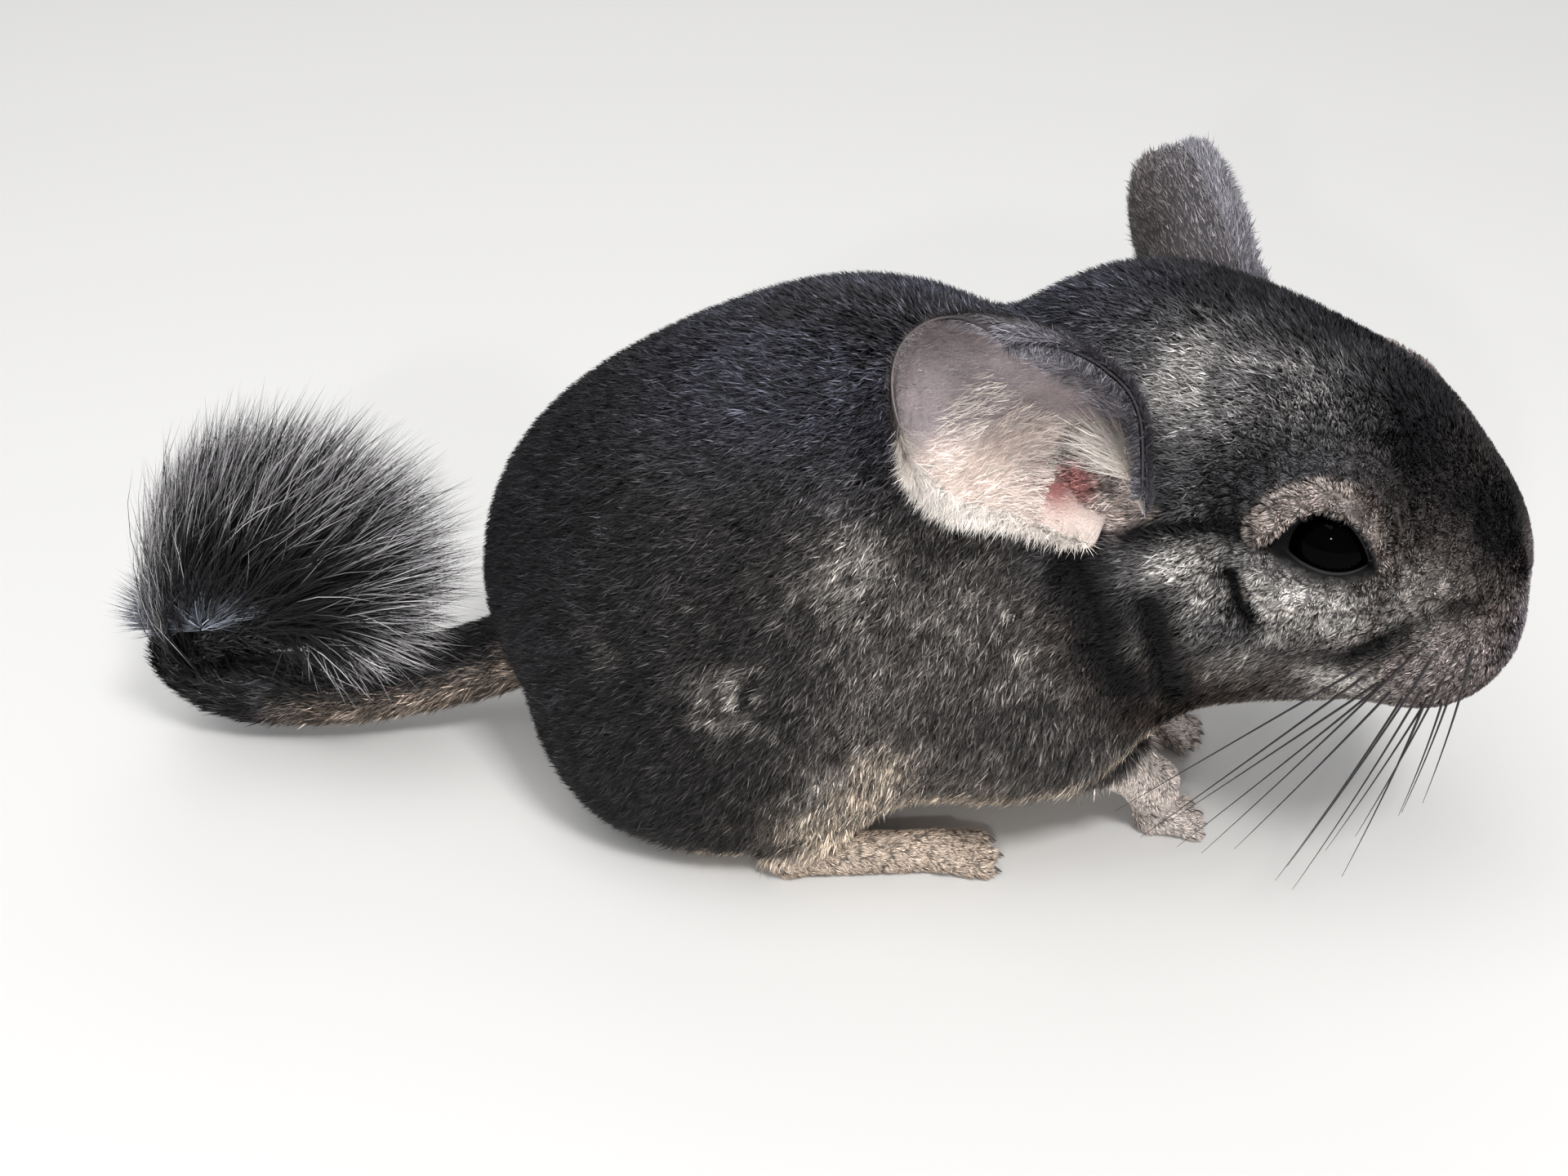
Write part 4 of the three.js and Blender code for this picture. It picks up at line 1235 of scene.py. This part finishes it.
def make_brush(points, quads, uv):
    count = BRUSH_HAIRS
    share = rng.random(count)
    turn = FAN_FROM + (FAN_TO - FAN_FROM) * share**1.15
    depth = np.clip(rng.normal(0, 0.5, count), -1, 1)
    inner = rng.random(count)
    reach = fan_reach(turn) * np.sqrt(1 - 0.4 * depth**2) * (0.42 + 0.6 * inner**0.55)
    angle = np.radians(turn + rng.normal(0, 5, count))
    place = np.clip(0.6 + 0.38 * share**0.9 + rng.normal(0, 0.03, count), 0.56, 0.99)
    index = place * (len(TAIL_POINTS) - 1)
    base = index.astype(int)
    centre = TAIL_POINTS[base] + (TAIL_POINTS[base + 1] - TAIL_POINTS[base]) * (index - base)[:, None]
    tip = WHORL + np.stack([np.cos(angle) * reach, depth * FAN_HALF_DEPTH, np.sin(angle) * reach], 1)
    outward = unit(tip - centre)
    root = centre + outward * 3.0 + np.stack([0 * depth, 3.5 * depth, 0 * depth], 1)
    bow = rng.normal(2.0, 3.0, count)[:, None]
    bend = (root + tip) / 2 + bow * np.stack([-np.sin(angle), 0.3 * depth, np.cos(angle)], 1)
    facing = unit(np.stack([-0.5 * np.sin(angle), np.where(depth < 0, -1.0, 1.0), 0.5 * np.cos(angle)], 1)
                  + rng.normal(0, 0.4, (count, 3)))
    t = np.concatenate([np.repeat(np.linspace(0, 1, BRUSH_STEPS + 1)[:-1], 2), [1.0]])
    pale_from = 0.68 + 0.09 * rng.normal(0, 1, count) - 0.2 * smooth(turn, 75, 108)
    grey = (0.4 + 0.55 * rng.random(count))[:, None, None] * np.array([1.0, 0.97, 0.99])
    stations = root[:, None] + (tip - root)[:, None] * t[None, :, None]
    out_share = np.linalg.norm(stations - WHORL, axis=2) / fan_reach(turn)[:, None]
    pale = smooth(out_share - pale_from[:, None], 0.0, 0.2) * smooth(t[None, :], 0.25, 0.45)
    pale = pale * (rng.random(count) < 0.62)[:, None]
    colour = BLACK + (grey - BLACK) * pale[:, :, None]
    width = rng.uniform(0.16, 0.3, count)
    uv_place = nearest_uv(points, uv, quads, centre)
    piece = blade_piece(
        "brush", HAIR, root, bend, tip, facing, width, BRUSH_STEPS, colour, np.ones(count), uv_place, 0.3)
    finished(piece, "brush_fur", "tail_brush")


def make_whorl(points, quads, uv):
    """Short blue-grey hairs that part round the brush's whorl, on both of its sides."""
    count = WHORL_HAIRS
    turn = np.radians(rng.uniform(25, 185, count))
    side = np.where(np.arange(count) % 2, 1.0, -1.0)
    away = 6.5 * np.sqrt(rng.random(count))
    outward = np.stack([np.cos(turn), 0 * turn, np.sin(turn)], 1)
    aside = np.stack([0 * turn, side * (8.2 - 0.35 * away), 0 * turn + 3.0], 1)
    root = WHORL + outward * away[:, None] + aside
    long = rng.uniform(4, 10, count)[:, None]
    across = np.array([0, 1, 0]) * side[:, None]
    tip = root + outward * long + across * rng.uniform(0.5, 2.5, count)[:, None]
    tip = tip + rng.normal(0, 0.8, (count, 3))
    bend = root + outward * long * 0.4 + across * 1.8
    colour = np.tile(WHORL_GREY, (count, 1)) * np.exp(rng.normal(0, 0.6, count))[:, None]
    uv_place = nearest_uv(points, uv, quads, root)
    width = rng.uniform(0.14, 0.24, count)
    piece = blade_piece(
        "whorl", HAIR, root, bend, tip, across, width, WHORL_STEPS, colour, np.ones(count), uv_place, 0.4)
    finished(piece, "brush_fur")


# Ears
def ear_hairs(count, u, v, face, way, length, width, lift, colour, spread=0.25, uneven=0.28, **gathered):
    """One kind of an ear's hairs.

    They grow between two places from foot to tip (u) and from back margin to front one (v), on the cup's
    outside (-1) or inside (1), and point so far towards its tip and its front. The colour is either their
    own or a share of the cup's there. What is gathered bends how u is spread out.
    """
    return {
        "count": count, "u": u, "v": v, "face": face, "way": way, "length": length, "width": width,
        "lift": lift, "colour": colour, "spread": spread, "uneven": uneven, **gathered,
    }


EAR_HAIRS = [
    ear_hairs(9000, (0.05, 0.98), (-0.98, 0.98), -1, (1.0, 0.1), 1.4, 0.17, 0.22, 1.2, 0.25, 0.45),
    ear_hairs(6500, (0.09, 0.97), (-0.98, 0.98), 1, (0.8, -0.55), 1.3, 0.11, 0.2, 1.15),
    ear_hairs(
        2600, (0, 1), (-0.97, 0.1), 1, (0.75, -0.65), 2.8, 0.12, 0.3, [0.90, 0.81, 0.75], 0.2,
        u_from=0.16, u_reach=0.5, u_power=1.5,
    ),
    ear_hairs(5400, (0.10, 0.98), (0.32, 0.99), 1, (0.9, -0.35), 2.1, 0.15, 0.35, EAR_GREY * 2.1, 0.25, 0.5),
    ear_hairs(1100, (0.03, 0.13), (0.3, 0.95), 1, (0.75, -0.9), 8.5, 0.14, 0.5, [0.92, 0.88, 0.83], 0.28),
    ear_hairs(2600, (0.10, 0.98), (0.9, 1.0), 1, (0.6, 0.9), 1.9, 0.16, 0.4, EAR_GREY, 0.3, 0.5),
    ear_hairs(3000, (0.05, 0.98), (0.86, 1.0), -1, (0.9, 0.3), 1.9, 0.17, 0.3, EAR_GREY * 1.2, 0.25, 0.5),
    ear_hairs(3600, (0.05, 0.95), (-1.0, -0.88), 1, (0.35, -1.0), 3.8, 0.14, 0.25, [0.90, 0.85, 0.80], 0.3),
    ear_hairs(900, (0.965, 1.0), (-0.9, 0.9), 1, (1.0, 0.0), 0.8, 0.12, 0.1, [0.34, 0.31, 0.31]),
]


def ear_surface(ear, u, v):
    """A point of the cup's middle surface, u from foot to tip and v from its back margin to its front one."""
    along, out, forward = ear_axes(ear)
    half = ear_half_width(u)
    opened = np.clip(u / EAR_OPEN_BY, 0, 1) ** 0.7

    def arc(margin):
        degrees = EAR_FOOT_ROLL[margin] + (EAR_BLADE_ROLL[margin] - EAR_FOOT_ROLL[margin]) * opened
        roll = np.radians(degrees)
        radius = np.where(roll < np.pi / 2, half / np.sin(np.minimum(roll, np.pi / 2)), half)
        return roll, radius, radius * (1 - np.cos(roll) * np.minimum(1, u / 0.3))

    front, back = arc("front"), arc("back")
    roll = np.where(v > 0, front[0], back[0])
    radius = np.where(v > 0, front[1], back[1])
    height = EAR_LENGTH * u * (1 - EAR_TIP_DROP * v * v * u)
    depth = radius * (1 - np.cos(roll * v)) - (front[2] + back[2]) / 2
    return (
        in_head(ear["foot"]) + height[:, None] * along
        + (radius * np.sin(roll * v))[:, None] * forward + depth[:, None] * out
    )


def ear_normal(ear, u, v):
    step = 1e-3
    up = ear_surface(ear, u + step, v) - ear_surface(ear, u - step, v)
    over = ear_surface(ear, u, v + step) - ear_surface(ear, u, v - step)
    return unit(np.cross(up, over)) * ear["side"], unit(up), unit(over)


def ear_colours(u, v, inner):
    inside = towards(np.tile(EAR_CREAM, (len(u), 1)), EAR_TAUPE, smooth(u + 0.55 * v, 0.16, 0.44))
    inside = towards(inside, EAR_DEEP, smooth(u + 0.3 * v, 0.66, 1.0))
    inside = towards(inside, EAR_GREY, smooth(v, 0.28, 0.46) * smooth(u, 0.07, 0.18))
    recess = np.exp(-(((u - 0.17) / 0.08) ** 2 + ((v + 0.36) / 0.26) ** 2))
    inside = towards(inside, EAR_PINK, np.clip(1.3 * recess, 0, 1))
    # Painted shade: the inside of the cup is darkened to black where the ear canal opens.
    canal = np.exp(-(((u - 0.04) / 0.05) ** 2 + ((v + 0.04) / 0.2) ** 2))
    inside = towards(inside, BLACK, np.clip(1.8 * canal, 0, 1))
    outside = towards(np.tile(EAR_BACK, (len(u), 1)), EAR_GREY, 0.5 * smooth(v, 0.4, 0.8))
    return np.where(inner[:, None], inside, outside)


def ear_uv(u, v, inner):
    """The unwrap of an ear: the cup's inside on the left half, and its outside on the right."""
    return np.stack([(v + 1) / 2 * EAR_UV_WIDTH + np.where(inner, 0, 0.5), u * EAR_UV_HEIGHT], 1)


def make_ear(name, ear):
    count = EAR_ROWS + 1
    u, v = np.meshgrid(np.linspace(0.0, 1, count), np.linspace(-1, 1, count), indexing="ij")
    u, v = u.ravel(), v.ravel()
    u = u + (1 - u) * np.where(v > 0, 0.10, 0.05) * v**4
    thick = EAR_THICKNESS / 2 * (1 - 0.75 * np.maximum(np.abs(v) ** 10, u**14))
    middle = ear_surface(ear, np.clip(u, 1e-3, 1), v)
    normal, _, _ = ear_normal(ear, np.clip(u, 2e-3, 0.998), v)
    points = np.concatenate([middle + normal * thick[:, None], middle - normal * thick[:, None]])
    index = np.arange(count * count).reshape(count, count)
    a, b, c, d = index[:-1, :-1], index[:-1, 1:], index[1:, 1:], index[1:, :-1]
    front_face = np.stack([a, b, c, d], -1).reshape(-1, 4)
    if ear["side"] > 0:
        front_face = front_face[:, ::-1]
    back_face = front_face[:, ::-1] + index.size
    loop = np.concatenate([index[0, :-1], index[:-1, -1], index[-1, :0:-1], index[:0:-1, 0]])
    edge = np.stack([np.roll(loop, -1), loop, loop + index.size, np.roll(loop, -1) + index.size], 1)
    if ear["side"] > 0:
        edge = edge[:, ::-1]
    faces = np.concatenate([front_face, back_face, edge])
    piece = mesh_piece(f"ear_{name}_skin", points, faces, EAR)
    inner = np.arange(len(points)) < index.size
    colour = ear_colours(np.tile(u, 2), np.tile(v, 2), inner)
    furry = np.where(inner, smooth(np.tile(v, 2), 0.4, 0.6), 1)
    colour = colour * (1 - 0.5 * furry)[:, None]
    set_values(piece, "coat_colour", with_alpha(colour))
    corner = ear_uv(np.tile(u, 2), np.tile(v, 2), inner)
    set_uv(piece, corner[faces.ravel()])
    finished(piece, "ear_skin", f"ear_{name}")
    ear_hair(name, ear)


def ear_hair(name, ear):
    """Short fur on the cup's back and front margin, finer hair inside it, and a fringe round its edge."""
    groups = []

    def group(u, v, kind, colour):
        u, v = np.clip(u, 0.02, 0.995), np.clip(v, -0.995, 0.995)
        face, width, lift = kind["face"], kind["width"], kind["lift"]
        normal, up, over = ear_normal(ear, u, v)
        normal = normal * face
        way = unit(up * kind["way"][0] + over * kind["way"][1] + rng.normal(0, kind["spread"], (len(u), 3)))
        long = (kind["length"] * rng.uniform(0.6, 1.25, len(u)))[:, None]
        root = ear_surface(ear, u, v) + normal * (EAR_THICKNESS / 2 - 0.1)
        tip = root + way * long + normal * lift * long
        bend = root + way * long * 0.4 + normal * lift * long * 0.75
        inner = np.full(len(u), face > 0)
        uv = ear_uv(u, v, inner)
        shade = np.exp(rng.normal(0, kind["uneven"], len(u)))[:, None]
        groups.append((root, bend, tip, normal, width * rng.uniform(0.7, 1.2, len(u)), colour * shade, uv))

    for kind in EAR_HAIRS:
        u = rng.uniform(*kind["u"], kind["count"])
        v = rng.uniform(*kind["v"], kind["count"])
        u = kind.get("u_from", 0) + kind.get("u_reach", 1) * u ** kind.get("u_power", 1)
        colour = kind["colour"]
        if isinstance(colour, float):
            colour = ear_colours(u, v, np.full(len(u), kind["face"] > 0)) * colour
        else:
            colour = np.tile(colour, (len(u), 1))
        group(u, v, kind, colour)
    root, bend, tip, facing, width, colour, uv = (np.concatenate(part) for part in zip(*groups))
    piece = blade_piece(
        f"ear_{name}_hair", HAIR, root, bend, tip, facing, width, EAR_HAIR_STEPS, colour, np.ones(len(root)),
        uv, 0.5,
    )
    finished(piece, "ear_skin")


# Eyes and lids
def make_eye(name, side):
    rings, spokes = EYE_RINGS, EYE_SPOKES
    polar, turn = np.meshgrid(
        np.linspace(0, np.pi, rings + 1)[1:-1], np.linspace(0, 2 * np.pi, spokes + 1)[:-1], indexing="ij")
    out, ahead, up = (head_way(mirrored(way, side)) for way in (EYE_OUT, EYE_AHEAD, EYE_UP))
    ball = (
        np.cos(polar)[..., None] * out
        + np.sin(polar)[..., None] * (np.cos(turn)[..., None] * ahead + np.sin(turn)[..., None] * up)
    ).reshape(-1, 3)
    points = np.concatenate([ball, [out, -out]]) * EYE_RADIUS + in_head(mirrored(EYE_PLACE, side))
    index = np.arange(len(ball)).reshape(rings - 1, spokes)
    after = np.roll(index, -1, axis=1)
    quads = np.stack([index[:-1], index[1:], after[1:], after[:-1]], -1).reshape(-1, 4)
    first, last = len(ball), len(ball) + 1
    caps = [np.stack([np.full(spokes, first), index[0], after[0]], 1),
            np.stack([np.full(spokes, last), after[-1], index[-1]], 1)]
    faces = np.concatenate([quads[:, [0, 1, 2]], quads[:, [0, 2, 3]], *caps])
    if side > 0:
        faces = faces[:, ::-1]
    piece = mesh_piece(f"eye_{name}_ball", points, faces, EYE)
    finished(piece, "eye", f"eye_{name}")


def tube(line, radii, sides=8, side_hint=(0, 0, 1)):
    """A closed tube along a line of points."""
    line = np.asarray(line, float)
    tangent = unit(np.gradient(line, axis=0))
    across = unit(np.cross(tangent, np.array(side_hint, float)))
    other = np.cross(tangent, across)
    turn = np.linspace(0, 2 * np.pi, sides + 1)[:-1]
    ring = np.cos(turn)[None, :, None] * across[:, None] + np.sin(turn)[None, :, None] * other[:, None]
    points = (line[:, None] + ring * np.asarray(radii)[:, None, None]).reshape(-1, 3)
    index = np.arange(len(points)).reshape(len(line), sides)
    after = np.roll(index, -1, axis=1)
    quads = np.stack([index[:-1], after[:-1], after[1:], index[1:]], -1).reshape(-1, 4)
    faces = np.concatenate([quads[:, [0, 1, 2]], quads[:, [0, 2, 3]]])
    ends = [len(points), len(points) + 1]
    caps = [np.stack([np.full(sides, ends[0]), after[0], index[0]], 1),
            np.stack([np.full(sides, ends[1]), index[-1], after[-1]], 1)]
    return np.concatenate([points, line[:1], line[-1:]]), np.concatenate([faces, *caps])


def joined(parts):
    points, faces, start = [], [], 0
    for part_points, part_faces in parts:
        points.append(part_points)
        faces.append(part_faces + start)
        start += len(part_points)
    return np.concatenate(points), np.concatenate(faces)


def make_lids(name, side):
    """The bare dark rims of the lids, on the eye's ball."""
    t = np.linspace(-1, 1, 41)
    lines = []
    for height in (OPENING_TOP, -OPENING_BOTTOM):
        across, tall = t * (OPENING_HALF - 0.3) - OPENING_BACK, height * (1 - np.abs(t) ** 2.4)
        out = np.sqrt(np.maximum((EYE_RADIUS + 0.25) ** 2 - across**2 - tall**2, 1.5**2))
        local = EYE_PLACE + across[:, None] * EYE_AHEAD + tall[:, None] * EYE_UP + out[:, None] * EYE_OUT
        lines.append(in_head(local * [1, side, 1]))
    taper = LID_RIM * (1 - 0.5 * t**4)
    parts = [tube(line, taper, 10, head_way(mirrored(EYE_OUT, side))) for line in lines]
    piece = mesh_piece(f"lids_{name}", *joined(parts), LID)
    finished(piece, "coat")


# Whiskers
def make_whiskers(name, side):
    parts = []
    for row in range(WHISKER_ROWS):
        for number in range(WHISKERS_A_ROW):
            back = number / (WHISKERS_A_ROW - 1)
            low = row / (WHISKER_ROWS - 1)
            start = np.array([41.5 - 9 * back, 13.2 + 4.8 * back - 1.2 * low, 2.6 - 7.5 * low - 1.0 * back])
            start = start + rng.normal(0, 0.5, 3)
            length = 22 + 22 * back * rng.uniform(0.7, 1.1) + 6 * rng.random()
            way = unit(np.array([0.22 - 0.5 * back, 0.34 - 0.12 * low, -0.8 - 0.1 * low]))
            way = unit(way + rng.normal(0, 0.08, 3))
            t = np.linspace(0, 1, 15)[:, None]
            local = start * [1, side, 1] + way * [1, side, 1] * t * length
            droop = np.array([-0.06, -0.06 * side, -0.12]) * length * t**2
            line = in_head(local) + droop
            line[:, 2] = np.maximum(line[:, 2], 0.6)
            parts.append(tube(line, WHISKER_RADIUS * (1 - 0.85 * t[:, 0]), 6, (0.3, 0.2, 0.9)))
    piece = mesh_piece(f"whiskers_{name}", *joined(parts), WHISKER)
    finished(piece, "coat")


# Claws
def toe_tips(heel, toe, toes, toe_radius, spread, side):
    back, front = np.array([*mirrored(heel, side), 0.0]), np.array([*mirrored(toe, side), toe_radius * 0.7])
    ahead = unit((front - back) * [1, 1, 0])
    beside = np.array([-ahead[1], ahead[0], 0])
    for i in range(toes):
        place = i - (toes - 1) / 2
        yield front + beside * place * spread - ahead * 0.8 * abs(place), ahead


def make_claws(name, side):
    feet = [
        (HEEL, HIND_TOE, HIND_TOES, TOE_RADIUS, TOE_SPREAD, 2.0, 0.55),
        ([WRIST[0] + 1, WRIST[1]], PAW_TOE, FINGERS, FINGER_RADIUS, FINGER_SPREAD, 1.5, 0.42),
    ]
    parts = []
    for heel, toe, toes, toe_radius, spread, length, thick in feet:
        for tip, ahead in toe_tips(heel, toe, toes, toe_radius, spread, side):
            t = np.linspace(0, 1, 7)[:, None]
            start = tip + ahead * toe_radius * 0.45 + [0, 0, 0.25]
            line = start + ahead * length * t + np.array([0, 0, -0.45]) * length * t**2
            line[:, 2] = np.maximum(line[:, 2], 0.15)
            parts.append(tube(line, thick * (1.02 - t[:, 0] ** 1.4), 8))
    piece = mesh_piece(f"claws_{name}", *joined(parts), CLAW)
    finished(piece, "foot_fur")


# Studio
def make_floor():
    corners = np.array([[-1, -1, 0], [1, -1, 0], [1, 1, 0], [-1, 1, 0]]) * FLOOR_HALF
    mesh = bpy.data.meshes.new("floor")
    mesh.from_pydata(corners.tolist(), [], [[0, 1, 2, 3]])
    floor = bpy.data.objects.new("floor", mesh)
    bpy.context.scene.collection.objects.link(floor)
    material, _, _, shader = new_material("floor", 0.9, 0.2)
    shader.inputs["Base Color"].default_value = FLOOR_COLOUR
    mesh.materials.append(material)


def way_out(azimuth, elevation):
    """The way from what the camera looks at towards a place around it."""
    a, e = np.radians([azimuth, elevation])
    return Vector((np.sin(a) * np.cos(e), -np.cos(a) * np.cos(e), np.sin(e)))


def add_light(name, azimuth, elevation, distance, size, power):
    back = way_out(azimuth, elevation)
    light = bpy.data.lights.new(name, "AREA")
    light.size = size
    light.energy = power
    lamp = bpy.data.objects.new(name, light)
    bpy.context.scene.collection.objects.link(lamp)
    lamp.location = Vector(metres(CAMERA_TARGET)) + back * distance
    lamp.rotation_mode = "QUATERNION"
    lamp.rotation_quaternion = back.to_track_quat("Z", "Y")


def make_camera():
    back = way_out(CAMERA_AZIMUTH, CAMERA_ELEVATION)
    data = bpy.data.cameras.new("camera")
    data.lens = CAMERA_LENS
    data.sensor_width = CAMERA_SENSOR
    data.clip_start = 0.01
    camera = bpy.data.objects.new("camera", data)
    bpy.context.scene.collection.objects.link(camera)
    camera.location = Vector(metres(CAMERA_TARGET)) + back * (CAMERA_DISTANCE / 1000)
    camera.rotation_mode = "QUATERNION"
    camera.rotation_quaternion = (-back).to_track_quat("-Z", "Y")
    bpy.context.scene.camera = camera


def make_world():
    world = bpy.data.worlds.new("studio")
    world.use_nodes = True
    background = world.node_tree.nodes["Background"]
    background.inputs["Color"].default_value = SKY_COLOUR
    background.inputs["Strength"].default_value = SKY_STRENGTH
    bpy.context.scene.world = world


bpy.context.scene.view_settings.view_transform = "Standard"
make_camera()
make_world()
make_floor()
for lamp in LIGHTS:
    add_light(*lamp)

skin_points, skin_quads, skin_normals, skin_uv = make_skin()
make_coat(skin_points, skin_quads, skin_normals, skin_uv)
make_brush(skin_points, skin_quads, skin_uv)
make_whorl(skin_points, skin_quads, skin_uv)
for ear_name, ear_shape in EARS.items():
    make_ear(ear_name, ear_shape)
for eye_name, eye_side in (("left", 1), ("right", -1)):
    make_eye(eye_name, eye_side)
    make_lids(eye_name, eye_side)
    make_whiskers(eye_name, eye_side)
    make_claws(eye_name, eye_side)
